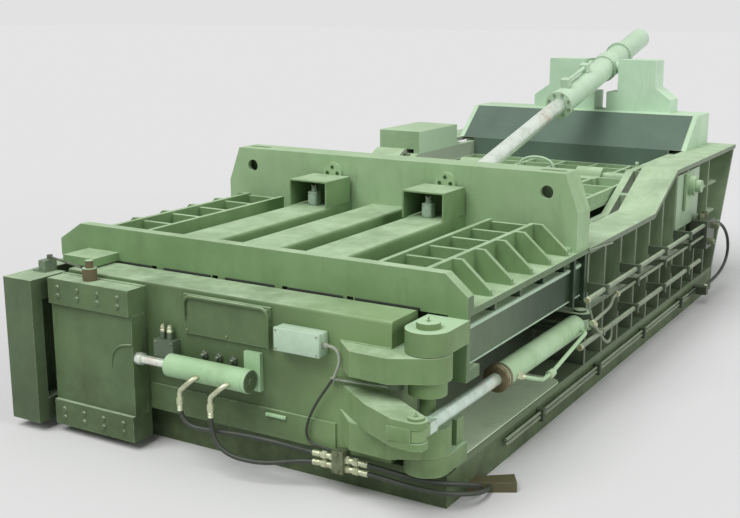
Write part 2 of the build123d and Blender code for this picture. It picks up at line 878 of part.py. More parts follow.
def lid_box():
    """Sheet box beside the lid, on the left side frame and the wall."""
    y0 = lid_hinge_y - lid_box_ahead
    y1 = y0 + lid_box_d
    top = flange_high + lid_box_h
    box = slab(-outer_half_w, -chamber_half_w, y0, y1, flange_high, top)
    box = fillet(box.edges().filter_by(Axis.Z), lid_box_round)
    box += slab(-wall_out, -chamber_half_w, y0, y1, flange_high - flange_t, flange_high + lid_box_t)
    y0 += lid_box_t
    y1 -= lid_box_t
    return box - slab(lid_box_t - outer_half_w, -wall_out, y0, y1, flange_high, top - lid_box_t)


def lid_clevis():
    """Two cheeks on the lid with the pin's heads outside them; the rod's eye goes between."""
    cheeks = []
    for side in (-1, 1):
        x0 = lid_cyl_x + side * (lid_eye_t / 2 + fit_gap)
        foot = [(lid_pin_y - lid_cheek_half_l, lid_top), (lid_pin_y + lid_cheek_half_l, lid_top),
                (lid_pin_y + lid_eye_r, lid_pin_z), (lid_pin_y - lid_eye_r, lid_pin_z)]
        cheek = prism_x(foot, x0, x0 + side * lid_cheek_t)
        cheek += bar((x0, lid_pin_y, lid_pin_z), (side, 0, 0), lid_eye_r, lid_cheek_t)
        x1 = x0 + side * lid_cheek_t
        cheeks.append(cheek + bar((x1, lid_pin_y, lid_pin_z), (side, 0, 0), lid_pin_head_r, lid_pin_head_t))
    return Compound(children=cheeks)


def lid_axis():
    """Plane at the trunnion whose Z runs down the cylinder to the lid's pin."""
    way = Vector(0, lid_pin_y - trunnion_y, lid_pin_z - trunnion_z)
    return Plane(origin=(lid_cyl_x, trunnion_y, trunnion_z), x_dir=(1, 0, 0), z_dir=way), way.length


def lid_barrel():
    """Lid cylinder's barrel with gland, trunnion ring and pins, collar and tail."""
    axis, reach = lid_axis()
    body = bar((0, 0, -lid_barrel_back), (0, 0, 1), lid_barrel_r, lid_barrel_back + lid_barrel_front)
    body += bar((0, 0, lid_barrel_front - lid_gland_l), (0, 0, 1), lid_gland_r, lid_gland_l)
    body += bar((0, 0, -lid_barrel_back - lid_collar_l), (0, 0, 1), lid_collar_r, lid_collar_l)
    body += bar((0, 0, -lid_barrel_back - lid_tail_l), (0, 0, 1), lid_tail_r, lid_tail_l)
    body += bar((0, 0, -trunnion_ring_l / 2), (0, 0, 1), trunnion_ring_r, trunnion_ring_l)
    pin_l = trunnion_gap_half + stand_w
    body += bar((-pin_l, 0, 0), (1, 0, 0), trunnion_pin_r, 2 * pin_l)
    body -= bar((0, 0, -lid_barrel_back), (0, 0, 1), lid_bore_r, lid_barrel_back + lid_barrel_front - lid_gland_l)
    body -= bar((0, 0, 0), (0, 0, 1), lid_rod_r + fit_gap, lid_barrel_front + cut_over)
    return axis * body


def lid_feed():
    """Feed tube on top of the lid cylinder with a block at each end."""
    axis, reach = lid_axis()
    height = lid_gland_r + feed_block_h / 2
    near, far = [share * lid_barrel_front for share in feed_shares]
    feed = bar((0, height, far), (0, 0, 1), feed_tube_r, near - far)
    for z in (near, far):
        feed += slab(-feed_block / 2, feed_block / 2, lid_barrel_r, height + feed_tube_r + feed_tube_r,
                     z - feed_block / 2, z + feed_block / 2)
    return axis * (feed - bar((0, 0, 0), (0, 0, 1), lid_barrel_r, lid_barrel_front))


def lid_rod():
    """Lid cylinder's rod with its piston and flat eye."""
    axis, reach = lid_axis()
    inner = lid_barrel_front - lid_piston_in
    rod = bar((0, 0, inner), (0, 0, 1), lid_rod_r, reach - lid_tongue_l - inner)
    rod += bar((0, 0, inner), (0, 0, 1), lid_bore_r - fit_gap, lid_piston_l)
    half = lid_eye_t / 2
    rod += slab(-half, half, -lid_rod_r, lid_rod_r, reach - lid_tongue_l, reach)
    rod += bar((-half, 0, reach), (1, 0, 0), lid_eye_r, lid_eye_t)
    return axis * (rod - bar((-half, 0, reach), (1, 0, 0), lid_pin_r + fit_gap, lid_eye_t))


def ram():
    """Hollow pusher, open at the back around the main cylinder."""
    y1 = chamber_len - ram_rest_gap
    y0 = y1 - ram_len
    half = chamber_half_w - run_gap
    z0 = floor_z + ram_floor_gap
    z1 = roof_z - ram_top_gap
    box = slab(-half, half, y0, y1, z0, z1)
    inner = half - ram_wall_t
    return box - slab(-inner, inner, y0 + ram_front_t, y1 + cut_over, z0 + ram_wall_t, z1 - ram_wall_t)


def ram_inside_y():
    """Back of the pusher's front wall."""
    return chamber_len - ram_rest_gap - ram_len + ram_front_t


def main_cylinder():
    """Main barrel through the rear wall, with its mounting flange and end cap."""
    front = ram_inside_y() + main_gland_gap
    length = rear_back + main_back_l - front
    body = bar((0, front, main_z), (0, 1, 0), main_barrel_r, length)
    body += bar((0, rear_back, main_z), (0, 1, 0), main_flange_r, main_flange_t)
    body -= bar((0, front, main_z), (0, 1, 0), main_rod_r + fit_gap, length - main_cap_t)
    return body - bar((0, front + main_cap_t, main_z), (0, 1, 0), main_bore_r, length - 2 * main_cap_t)


def ram_rod():
    """Main rod with its piston, fixed to the pusher's front wall."""
    start = ram_inside_y()
    end = rear_back + main_back_l - main_cap_t - main_end_gap
    rod = bar((0, start, main_z), (0, 1, 0), main_rod_r, end - start)
    return rod + bar((0, end - main_piston_l, main_z), (0, 1, 0), main_bore_r - fit_gap, main_piston_l)


def hinge_lugs():
    """Upper and lower frame lugs around the gate's pin, the lower one with a fin."""
    lugs = []
    for z, t in ((upper_lug_z, upper_lug_t), (lower_lug_z, lower_lug_t)):
        lug = bar((hinge_x, hinge_y, z), (0, 0, 1), lug_out_r, t)
        lug += slab(hinge_x - lug_out_r, hinge_x + lug_out_r, hinge_y, 0, z, z + t)
        lugs.append(lug - bar((hinge_x, hinge_y, z), (0, 0, 1), hinge_pin_r, t))
    fin_x = hinge_x + lug_out_r - fin_inset
    lugs[1] += slab(fin_x - fin_t, fin_x, -fin_d, 0, lower_lug_z, lower_lug_z + fin_h)
    return Compound(children=lugs)


def hinge_pin():
    """Gate pin with its round head on the upper lug."""
    top = upper_lug_z + upper_lug_t
    pin = bar((hinge_x, hinge_y, lower_lug_z), (0, 0, 1), hinge_pin_r, top - lower_lug_z)
    return pin + bar((hinge_x, hinge_y, top), (0, 0, 1), hinge_head_r, hinge_head_h)


def gate_slab():
    """Thick gate in front of the press chamber, with a strip along its lower edge."""
    body = slab(-gate_left_x, gate_right_x, gate_front, gate_back, gate_bottom, gate_top_z)
    body = fillet(body.edges().filter_by(Axis.X).group_by(Axis.Z)[-1], gate_round)
    strip_top = gate_bottom + strip_h
    return body + slab(strip_left_x, strip_right_x, gate_front - strip_t, gate_front, gate_bottom, strip_top)


def gate_arm(z, t):
    """Six-sided hinge arm welded to the gate's front and end, bored for the pin."""
    y = gate_front
    back = hinge_y + arm_end_r * arm_back_share
    outline = [(arm_root_x, y), (arm_knee_x, y - arm_knee_out), (arm_front_x, y - arm_front_out),
               (hinge_x + arm_end_r * arm_back_share, hinge_y - arm_end_r * arm_back_share),
               (hinge_x, back), (gate_right_x, back), (gate_right_x, y)]
    arm = prism_z(outline, z, z + t) + bar((hinge_x, hinge_y, z), (0, 0, 1), arm_end_r, t)
    return arm - bar((hinge_x, hinge_y, z), (0, 0, 1), hinge_pin_r + fit_gap, t)


def gate_arm_upper():
    """Upper hinge arm with a knuckle below it."""
    foot = (hinge_x, hinge_y, upper_arm_z - knuckle_l)
    arm = gate_arm(upper_arm_z, upper_arm_t) + bar(foot, (0, 0, 1), knuckle_r, knuckle_l)
    return arm - bar(foot, (0, 0, 1), hinge_pin_r + fit_gap, knuckle_l)


def gate_arm_lower():
    """Lower hinge arm."""
    return gate_arm(lower_arm_z, lower_arm_t)


def lever_outline():
    """Plan of the lever from the gate's face to the tip."""
    side = lever_tip_r * lever_side_share
    return [(lever_root_x, gate_front), (lever_knee_x, gate_front - lever_knee_out),
            (lever_nose_x, gate_front - lever_nose_out), (lever_tip_x, lever_tip_y - lever_tip_r),
            (lever_tip_x + side, lever_tip_y + side), (gate_right_x, gate_front)]


def gate_lever():
    """Two lever plates with a front web, open at the tip for the rod's eye."""
    outline = lever_outline()
    lever = None
    for z in (lever_z, lever_slot_z + lever_slot_h):
        plate = prism_z(outline, z, z + lever_plate_t)
        plate += bar((lever_tip_x, lever_tip_y, z), (0, 0, 1), lever_tip_r, lever_plate_t)
        lever = plate if lever is None else lever + plate
    root, knee, nose = [Vector(*p) for p in outline[:3]]
    stop = knee + (nose - knee) * lever_web_end_share
    inner = [(root.X + lever_web_t, root.Y), (knee.X, knee.Y + lever_web_t), (stop.X, stop.Y + lever_web_t)]
    front = [(stop.X, stop.Y), (knee.X, knee.Y), (root.X, root.Y)]
    return lever + prism_z(inner + front, lever_slot_z, lever_slot_z + lever_slot_h)


def lever_pin():
    """Pin heads above and below the lever's plates."""
    low = bar((lever_tip_x, lever_tip_y, lever_z), (0, 0, -1), lever_pin_head_r, lever_pin_head_t)
    return low + bar((lever_tip_x, lever_tip_y, lever_z + lever_h), (0, 0, 1), lever_pin_head_r, lever_pin_head_t)


def gate_rod():
    """Gate cylinder's rod with piston and flat eye."""
    front = gate_rear_y - gate_barrel_front
    start = lever_tip_y + gate_tongue_l
    end = front + gate_piston_in
    rod = bar((lever_tip_x, start, gate_axis_z), (0, 1, 0), gate_rod_r, end - start)
    rod += bar((lever_tip_x, end - gate_piston_l, gate_axis_z), (0, 1, 0), gate_bore_r - fit_gap, gate_piston_l)
    z0 = gate_axis_z - gate_eye_t / 2
    rod += slab(lever_tip_x - gate_rod_r, lever_tip_x + gate_rod_r, lever_tip_y, start, z0, z0 + gate_eye_t)
    rod += bar((lever_tip_x, lever_tip_y, z0), (0, 0, 1), gate_eye_r, gate_eye_t)
    return rod - bar((lever_tip_x, lever_tip_y, z0), (0, 0, 1), lever_pin_r + fit_gap, gate_eye_t)


def gate_barrel():
    """Gate cylinder's barrel with gland ring and rear eye."""
    front = gate_rear_y - gate_barrel_front
    back = gate_rear_y - gate_barrel_back
    body = bar((lever_tip_x, front, gate_axis_z), (0, 1, 0), gate_barrel_r, back - front)
    body += bar((lever_tip_x, front, gate_axis_z), (0, 1, 0), gate_gland_r, gate_gland_l)
    body -= bar((lever_tip_x, front, gate_axis_z), (0, 1, 0), gate_rod_r + fit_gap, gate_gland_l)
    hollow = back - front - 2 * gate_gland_l
    body -= bar((lever_tip_x, front + gate_gland_l, gate_axis_z), (0, 1, 0), gate_bore_r, hollow)
    z0 = gate_axis_z - rear_eye_t / 2
    body += slab(lever_tip_x - rear_eye_r, lever_tip_x + rear_eye_r, back, gate_rear_y, z0, z0 + rear_eye_t)
    body += bar((lever_tip_x, gate_rear_y, z0), (0, 0, 1), rear_eye_r, rear_eye_t)
    return body - bar((lever_tip_x, gate_rear_y, z0), (0, 0, 1), rear_pin_r + fit_gap, rear_eye_t)


def gate_barrel_pipe():
    """Feed pipe from the barrel's gland end, low along its outer side, back into its rear end."""
    front = gate_rear_y - gate_barrel_front
    inner = lever_tip_x + gate_barrel_r / 2
    outer = lever_tip_x + barrel_pipe_out
    low = gate_axis_z - barrel_pipe_drop
    run = barrel_pipe_end - barrel_pipe_start
    ys = [front + barrel_pipe_start + share * run for share in barrel_pipe_shares]
    points = [(inner, front + barrel_pipe_start, gate_axis_z),
              (outer, ys[0], gate_axis_z - barrel_fall_share * barrel_pipe_drop),
              (outer, ys[1], low), (outer, ys[2], low), (outer, ys[3], gate_axis_z),
              (inner, front + barrel_pipe_end, gate_axis_z)]
    pipe = bent_bar(points, barrel_pipe_r, barrel_pipe_bend)
    pipe += bar((outer, ys[2] - barrel_nut_l / 2, low), (0, 1, 0), barrel_nut_r, barrel_nut_l)
    return pipe - bar((lever_tip_x, front, gate_axis_z), (0, 1, 0), gate_barrel_r, gate_barrel_front)


def gate_cylinder_bracket():
    """Two ears on the side wall that hold the gate cylinder's rear eye."""
    y0 = gate_rear_y - rear_ear_half_w
    y1 = gate_rear_y + rear_ear_half_w
    half = rear_eye_t / 2 + fit_gap
    low = gate_axis_z - half - rear_ear_t
    ears = slab(wall_out, wall_out + rear_ear_t, y0, y1, low, gate_axis_z + half + rear_ear_t)
    for z in (low, gate_axis_z + half):
        ears += slab(wall_out, lever_tip_x, y0, y1, z, z + rear_ear_t)
        ears += bar((lever_tip_x, gate_rear_y, z), (0, 0, 1), rear_ear_half_w, rear_ear_t)
        ears -= bar((lever_tip_x, gate_rear_y, z), (0, 0, 1), rear_pin_r, rear_ear_t)
    return ears


def gate_rear_pin():
    """Pin through the rear ears."""
    half = rear_eye_t / 2 + fit_gap + rear_ear_t
    pin = bar((lever_tip_x, gate_rear_y, gate_axis_z - half), (0, 0, 1), rear_pin_r, 2 * half)
    return pin + bar((lever_tip_x, gate_rear_y, gate_axis_z + half), (0, 0, 1), lever_pin_head_r, rear_pin_head_t)


def lock_back():
    """Plate behind the lock's slide."""
    return slab(jaw_left_x, jaw_right_x, jaw_y, gate_front, lower_jaw_z, upper_jaw_z + upper_jaw_h)


def jaw(z, h):
    """Guide block above or below the sliding plate."""
    return slab(jaw_left_x, jaw_right_x, lock_front, jaw_y, z, z + h)


def jaw_bolts():
    """Bolt heads on the faces of both jaws."""
    heads = []
    for z, h in ((upper_jaw_z, upper_jaw_h), (lower_jaw_z, lower_jaw_h)):
        for column in range(jaw_bolt_cols):
            for row in range(jaw_bolt_rows):
                x = jaw_left_x + (column + mid_share) * (jaw_right_x - jaw_left_x) / jaw_bolt_cols
                hz = z + (row + 1) * h / (jaw_bolt_rows + 1)
                heads.append(bar((x, lock_front, hz), (0, -1, 0), jaw_bolt_r, jaw_bolt_h))
    return Compound(children=heads)


def lock_plate():
    """Sliding plate between the jaws."""
    z0 = lower_jaw_z + lower_jaw_h + lock_gap
    return slab(jaw_left_x, jaw_right_x, lock_plate_y - lock_plate_t, lock_plate_y, z0, upper_jaw_z - lock_gap)


def lock_rod():
    """Lock cylinder's rod with its nut against the plate's edge."""
    end = lock_barrel_x + lock_rod_in
    rod = bar((jaw_right_x, lock_axis_y, lock_axis_z), (1, 0, 0), lock_rod_r, end - jaw_right_x)
    rod += bar((jaw_right_x, lock_axis_y, lock_axis_z), (1, 0, 0), lock_nut_r, lock_nut_l)
    piston = lock_nut_l
    return rod + bar((end - piston, lock_axis_y, lock_axis_z), (1, 0, 0), lock_bore_r - fit_gap, piston)


def lock_cylinder():
    """Small barrel that drives the lock plate."""
    body = bar((lock_barrel_x, lock_axis_y, lock_axis_z), (1, 0, 0), lock_barrel_r, lock_barrel_l)
    end = lock_barrel_x + lock_barrel_l
    body += bar((end, lock_axis_y, lock_axis_z), (1, 0, 0), lock_cap_r, lock_cap_l)
    body -= bar((lock_barrel_x, lock_axis_y, lock_axis_z), (1, 0, 0), lock_rod_r + fit_gap, lock_cap_l)
    bore = (lock_barrel_x + lock_cap_l, lock_axis_y, lock_axis_z)
    return body - bar(bore, (1, 0, 0), lock_bore_r, lock_barrel_l - 2 * lock_cap_l)


def lock_bracket():
    """Plate that holds the lock cylinder on the gate."""
    x0 = lock_barrel_x + lock_barrel_l - lock_bracket_in
    z0 = lock_axis_z - lock_bracket_drop
    return slab(x0, x0 + lock_bracket_w, jaw_y, gate_front, z0, z0 + lock_bracket_h)


def sensor_block():
    """Block beside the lock's rod, with two fittings on top."""
    x1 = lock_barrel_x - fit_gap
    z0 = lock_axis_z + sensor_rise
    block = slab(x1 - sensor_w, x1, gate_front - sensor_d, gate_front, z0, z0 + sensor_h)
    for share in sensor_cap_shares:
        top = (x1 - share * sensor_w, gate_front - sensor_d / 2, z0 + sensor_h)
        block += bar(top, (0, 0, 1), sensor_cap_r, sensor_cap_h)
    return block


def arm_switch():
    """Small switch under the upper hinge arm."""
    y1 = gate_front - arm_switch_out
    x1 = arm_switch_x + arm_switch_w
    return slab(arm_switch_x, x1, y1 - arm_switch_d, y1, upper_arm_z - arm_switch_h, upper_arm_z)


def lock_post():
    """Tall keeper at the left, with a pocket for the lock plate."""
    x1 = jaw_left_x - post_gap
    x0 = x1 - post_w
    y1 = -post_front + post_d
    post = slab(x0, x1, -post_front, y1, post_z, post_z + post_h)
    z0 = lower_jaw_z + lower_jaw_h + lock_gap - pocket_gap
    z1 = upper_jaw_z - lock_gap + pocket_gap
    depth = lock_travel - post_gap + pocket_gap
    y0 = lock_plate_y - lock_plate_t - pocket_gap
    post -= slab(x1 - depth, x1 + cut_over, y0, lock_plate_y + pocket_gap, z0, z1)
    tie_z = roof_z - leg_drop
    return post + slab(x0, x0 + tie_w, y1, 0, tie_z, tie_z + leg_drop - run_gap)


def gate_cover():
    """Flat cover panel near the gate's top edge."""
    z1 = gate_top_z - cover_drop
    return slab(cover_x, cover_x + cover_w, gate_front - cover_t, gate_front, z1 - cover_h, z1)


def cover_hoop():
    """Bent rod around the cover's top and sides."""
    y = gate_front - cover_t - hoop_r
    z1 = gate_top_z - cover_drop - hoop_r
    left = cover_x + hoop_r
    right = cover_x + cover_w - hoop_r
    points = [(left, y, z1 - hoop_leg_share * cover_h), (left, y, z1), (right, y, z1),
              (right, y, z1 - cover_h + hoop_r)]
    return bent_bar(points, hoop_r, hoop_bend)


def gate_studs():
    """Studs with nuts and a flat clip on the gate's face."""
    studs = [clip_bar()]
    for i in range(stud_count):
        place = (stud_x + i * stud_pitch, gate_front, stud_z)
        nut = Plane(origin=place, z_dir=(0, -1, 0)) * extrude(RegularPolygon(nut_r, nut_sides), nut_h)
        studs.append(nut + bar(place, (0, -1, 0), stud_r, stud_l))
    return studs


def clip_bar():
    """Short flat bar that holds the hoses to the gate."""
    face = gate_front - strip_t
    return slab(clip_x, clip_x + clip_l, face - clip_t, face, clip_z, clip_z + clip_h)


def junction_box():
    """Plain junction box."""
    box = slab(jbox_x, jbox_x + jbox_w, gate_front - jbox_d, gate_front, jbox_z, jbox_z + jbox_h)
    return fillet(box.edges().filter_by(Axis.Y), jbox_round)


def cable_gland():
    """Gland on the junction box's right side."""
    start = (jbox_x + jbox_w, gate_front - gland_in_share * jbox_d, jbox_z + jbox_h / 2)
    return bar(start, (1, 0, 0), gland_r, gland_l)


def bulkhead_block():
    """Block low on the gate where the hoses meet, with four unions."""
    y0 = gate_front - bulkhead_d
    block = slab(bulkhead_x, bulkhead_x + bulkhead_w, y0, gate_front, bulkhead_z, bulkhead_z + bulkhead_h)
    for share in union_shares:
        z = bulkhead_z + share * bulkhead_h
        start = (bulkhead_x - union_l, y0 + bulkhead_d / 2, z)
        block += bar(start, (1, 0, 0), union_r, bulkhead_w + 2 * union_l)
    return block


def corner_lug():
    """Block above the gate's left end, on the roof's front plate."""
    z0 = gate_top_z + corner_lug_lift
    return slab(corner_lug_x, corner_lug_x + corner_lug_w, -corner_lug_d, 0, z0, z0 + corner_lug_h)


def lock_switch():
    """Switch on a plate that stands on the lock post."""
    z0 = post_z + post_h
    x = lock_switch_x
    y_post = -post_front + post_d
    plate = slab(x - switch_bracket_w, x, y_post - switch_bracket_w, y_post, z0, z0 + switch_bracket_t)
    body = slab(x - lock_switch_w, x, y_post - lock_switch_d, y_post, z0 + switch_bracket_t, z0 + lock_switch_h)
    return plate + body


def switch_pivot():
    """Top of the lock switch, where its lever turns."""
    y_post = -post_front + post_d
    return (lock_switch_x - lock_switch_w / 2, y_post - lock_switch_w / 2, post_z + post_h + lock_switch_h)


def switch_lever():
    """Hub with a thin rod that feels the gate's collar."""
    x, y, z = switch_pivot()
    turn = math.radians(lever_turn)
    lever = bar((x, y, z), (0, 0, 1), lever_hub_r, lever_hub_h)
    way = (math.cos(turn), -math.sin(turn), 0)
    return lever + bar((x, y, z + lever_hub_h / 2), way, lever_rod_r, lever_rod_l)


def gate_collar():
    """Collar with a cap on the upper jaw, the target of the lock switch."""
    z0 = upper_jaw_z + upper_jaw_h
    y = jaw_y - collar_out
    collar = bar((collar_x, y, z0), (0, 0, 1), collar_r, collar_h)
    return collar + bar((collar_x, y, z0 + collar_h), (0, 0, 1), collar_cap_r, collar_cap_h)


def pipe_runs():
    """Height, radius, start and end of each pipe along the right side."""
    return [(pipe_z, pipe_r, pipe_start, pipe_end), (pipe_thin_z, pipe_thin_r, pipe_thin_start, pipe_end),
            (pipe_low_z, pipe_r, pipe_low_start, pipe_end - pipe_low_short)]


def side_pipes():
    """Three pipes along the right side, and a thin pair along the base that ends in a block."""
    pipes = [bar((pipe_x, start, z), (0, 1, 0), radius, end - start) for z, radius, start, end in pipe_runs()]
    x = base_half_w + clamp_t + base_pipe_r
    for i in range(base_pipe_count):
        start = (x, base_pipe_front, base_pipe_z + i * base_pipe_gap)
        pipes.append(bar(start, (0, 1, 0), base_pipe_r, base_pipe_end - base_pipe_front))
    z0 = base_pipe_z + base_pipe_gap / 2 - end_block_h / 2
    y1 = base_pipe_end + end_block_d
    block = slab(base_half_w, base_half_w + end_block_w, base_pipe_end, y1, z0, z0 + end_block_h)
    return pipes + [block]


def pipe_clamps():
    """Clamp blocks that carry the pipes on the side frame and on the base."""
    clamps = []
    edge = outer_half_w - stiffener_inset
    for z, radius, start, end in pipe_runs():
        for i in range(0, stiffener_count, clamp_every):
            y = beam_back + i * stiffener_pitch
            if start < y < end - clamp_w:
                reach = radius + clamp_t
                block = slab(edge, pipe_x + reach, y, y + stiffener_t, z - reach, z + reach)
                hole = (pipe_x, y - cut_over, z)
                clamps.append(block - bar(hole, (0, 1, 0), radius, stiffener_t + 2 * cut_over))
    x1 = base_half_w + 2 * clamp_t + 2 * base_pipe_r
    z0 = base_pipe_z - base_pipe_r - clamp_t
    z1 = base_pipe_z + (base_pipe_count - 1) * base_pipe_gap + base_pipe_r + clamp_t
    for i in range(clamp_count):
        y = base_pipe_front + (i + mid_share) * (base_pipe_end - base_pipe_front) / clamp_count
        block = slab(base_half_w, x1, y, y + clamp_w, z0, z1)
        for j in range(base_pipe_count):
            hole = (base_half_w + clamp_t + base_pipe_r, y - cut_over, base_pipe_z + j * base_pipe_gap)
            block -= bar(hole, (0, 1, 0), base_pipe_r, clamp_w + 2 * cut_over)
        clamps.append(block)
    return Compound(children=clamps)


def valve_cluster():
    """Valve block at the far end of the side pipes, with fittings on its outer face and its top."""
    x0 = outer_half_w - stiffener_inset
    z0 = pipe_z - valve_drop
    z1 = z0 + valve_h
    block = slab(x0, x0 + valve_w, pipe_end, pipe_end + valve_d, z0, z1)
    for share in valve_fit_shares:
        y = pipe_end + share * valve_d
        block += bar((x0 + valve_w / 2, y, z1), (0, 0, 1), valve_fit_r, valve_fit_l)
        block += bar((x0 + valve_w, y, z0 + share * valve_h), (1, 0, 0), valve_fit_r, valve_fit_l)
    return block


def hose_trunk():
    """Low duct on the floor, from the base's right side outwards, where the feed hoses end."""
    x0 = base_half_w
    x1 = x0 + trunk_l
    y1 = trunk_y + trunk_d
    far_x = x1 - trunk_skew * trunk_d / trunk_l
    outline = [(x0, trunk_y), (x1, trunk_y + trunk_skew), (far_x, y1 + trunk_skew), (x0, y1)]
    return prism_z(outline, 0, trunk_h)


def hose_elbows():
    """Two bent fittings on the lock cylinder's front, each with a collar for its hose."""
    fittings = []
    barrel = bar((lock_barrel_x, lock_axis_y, lock_axis_z), (1, 0, 0), lock_barrel_r, lock_barrel_l)
    z = lock_axis_z - elbow_drop
    for x in elbow_xs:
        y = lock_axis_y - elbow_out
        end = (x - elbow_lean, y, z - elbow_fall - elbow_tail)
        points = [(x, lock_axis_y, z), (x, y, z), (x - elbow_lean, y, z - elbow_fall), end]
        elbow = bent_bar(points, elbow_r, elbow_bend)
        elbow += bar(end, (0, 0, 1), elbow_collar_r, elbow_collar_l)
        fittings.append(elbow - barrel)
    return Compound(children=fittings)


def build_parts():
    """All nodes by name."""
    parts = {"base_frame": base_frame() + hose_trunk(), "floor_plate": floor_plate(), "roof_plate": roof_plate(),
             "roof_front_plate": roof_front_plate() + corner_lug(), "cross_beam": cross_beam(),
             "rear_deck": rear_deck(), "rear_wall": rear_wall(), "lid_shaft": lid_shaft(),
             "hinge_lugs": hinge_lugs(), "hinge_pin": hinge_pin(), "main_cylinder": main_cylinder(),
             "gate_cylinder_bracket": gate_cylinder_bracket() + gate_rear_pin(), "lock_post": lock_post(),
             "lock_switch": lock_switch(), "side_pipes": Compound(children=side_pipes() + [valve_cluster()]),
             "pipe_clamps": pipe_clamps()}
    for name, side in (("left", -1), ("right", 1)):
        parts[f"wall_{name}"] = wall(side)
        parts[f"side_frame_{name}"] = side_frame(side)
        parts[f"roof_ribs_{name}"] = roof_ribs(side)
        parts[f"trunnion_stand_{name}"] = trunnion_stand(side)
    sides = (-1, 1)
    parts["switch_boxes"] = Compound(children=[switch_box(side) for side in sides])
    parts["limit_switches"] = Compound(children=[limit_switch(side) for side in sides])
    parts["shaft_plates"] = Compound(children=[shaft_plate(side) for side in sides])
    parts["roof_beams"] = Compound(children=[roof_beam(place) for place in (-1, 0, 1)])
    parts["gate_slab"] = gate_slab()
    parts["gate_arms"] = Compound(children=[gate_arm_upper(), gate_arm_lower()])
    parts["gate_lever"] = gate_lever() + lever_pin()
    parts["lock_jaws"] = lock_back() + jaw(upper_jaw_z, upper_jaw_h) + jaw(lower_jaw_z, lower_jaw_h)
    parts["jaw_bolts"] = jaw_bolts()
    parts["lock_cylinder"] = lock_cylinder() + lock_bracket()
    parts["sensor_block"] = Compound(children=[sensor_block(), arm_switch()])
    parts["gate_cover"] = gate_cover() + cover_hoop()
    parts["gate_studs"] = Compound(children=gate_studs())
    parts["junction_box"] = junction_box()
    parts["cable_gland"] = cable_gland()
    parts["bulkhead_block"] = bulkhead_block()
    parts["gate_collar"] = gate_collar()
    parts["hose_elbows"] = hose_elbows()
    parts["lock_plate"] = lock_plate()
    parts["lock_rod"] = lock_rod()
    parts["switch_lever"] = switch_lever()
    parts["gate_barrel"] = gate_barrel() + gate_barrel_pipe()
    parts["gate_rod"] = gate_rod()
    parts["lid_panel"] = lid_panel()
    parts["lid_box"] = lid_box()
    parts["lid_clevis"] = lid_clevis()
    parts["lid_barrel"] = lid_barrel() + lid_feed()
    parts["lid_rod"] = lid_rod()
    parts["ram"] = ram() + ram_rod()
    parts["lock_hose_a"] = tube(lock_hose_a_points, hose_r)
    parts["lock_hose_b"] = tube(lock_hose_b_points, hose_r)
    parts["feed_hose_a"] = tube(feed_hose_a_points, hose_r)
    parts["feed_hose_b"] = tube(feed_hose_b_points, hose_r)
    parts["junction_cable"] = tube(cable_points, cable_r)
    parts["loop_hose"] = tube(loop_hose_points, hose_r)
    return parts


os.makedirs("parts", exist_ok=True)
for node_name, node_shape in build_parts().items():
    export_step(node_shape, f"parts/{node_name}.step")
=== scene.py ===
import bpy
import math
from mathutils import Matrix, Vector


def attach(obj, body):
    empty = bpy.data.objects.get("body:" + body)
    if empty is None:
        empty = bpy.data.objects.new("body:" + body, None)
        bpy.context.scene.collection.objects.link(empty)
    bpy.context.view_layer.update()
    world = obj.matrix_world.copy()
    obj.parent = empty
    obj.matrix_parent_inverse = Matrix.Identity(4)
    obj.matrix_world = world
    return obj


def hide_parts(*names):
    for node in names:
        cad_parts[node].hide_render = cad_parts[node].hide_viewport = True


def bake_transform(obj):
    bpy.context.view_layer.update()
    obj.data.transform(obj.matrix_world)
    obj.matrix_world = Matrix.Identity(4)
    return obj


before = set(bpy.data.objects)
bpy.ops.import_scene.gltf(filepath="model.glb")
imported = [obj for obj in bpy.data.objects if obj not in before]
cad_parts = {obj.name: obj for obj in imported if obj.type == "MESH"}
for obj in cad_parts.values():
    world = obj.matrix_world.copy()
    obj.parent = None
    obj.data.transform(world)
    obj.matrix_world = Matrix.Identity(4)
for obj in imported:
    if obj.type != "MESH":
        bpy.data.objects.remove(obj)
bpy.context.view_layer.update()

# Base and floor deck.
# A welded frame of plate and bearers under a steel deck, brush-painted green. It is the darkest part of the machine,
# because oil and dust run down to it. The deck's pale green is painted light for the shade it lies in, and the deck is
# darker outside the right wall.


def new_group(name, inputs, outputs):
    """Empty shader group with float inputs (with defaults) and outputs."""
    group = bpy.data.node_groups.new(name, "ShaderNodeTree")
    for label, default in inputs:
        socket = group.interface.new_socket(label, in_out="INPUT", socket_type="NodeSocketFloat")
        socket.default_value = default
    for label in outputs:
        group.interface.new_socket(label, in_out="OUTPUT", socket_type="NodeSocketFloat")
    return group, group.nodes.new("NodeGroupInput"), group.nodes.new("NodeGroupOutput")


def wire(tree, value, socket):
    """Give a socket a number, a colour or another node's output."""
    if isinstance(value, (int, float, list, tuple)):
        socket.default_value = value
    else:
        tree.links.new(value, socket)


def math_node(tree, operation, first, second):
    """Math node whose operands are outputs or numbers."""
    node = tree.nodes.new("ShaderNodeMath")
    node.operation = operation
    wire(tree, first, node.inputs[0])
    wire(tree, second, node.inputs[1])
    return node.outputs[0]


def times(tree, first, second):
    """Product of two outputs or numbers."""
    return math_node(tree, "MULTIPLY", first, second)


def step_node(tree, value, low, high):
    """Smooth step of a value from 0 at low to 1 at high."""
    node = tree.nodes.new("ShaderNodeMapRange")
    node.interpolation_type = "SMOOTHSTEP"
    wire(tree, value, node.inputs["Value"])
    wire(tree, low, node.inputs["From Min"])
    wire(tree, high, node.inputs["From Max"])
    return node.outputs["Result"]


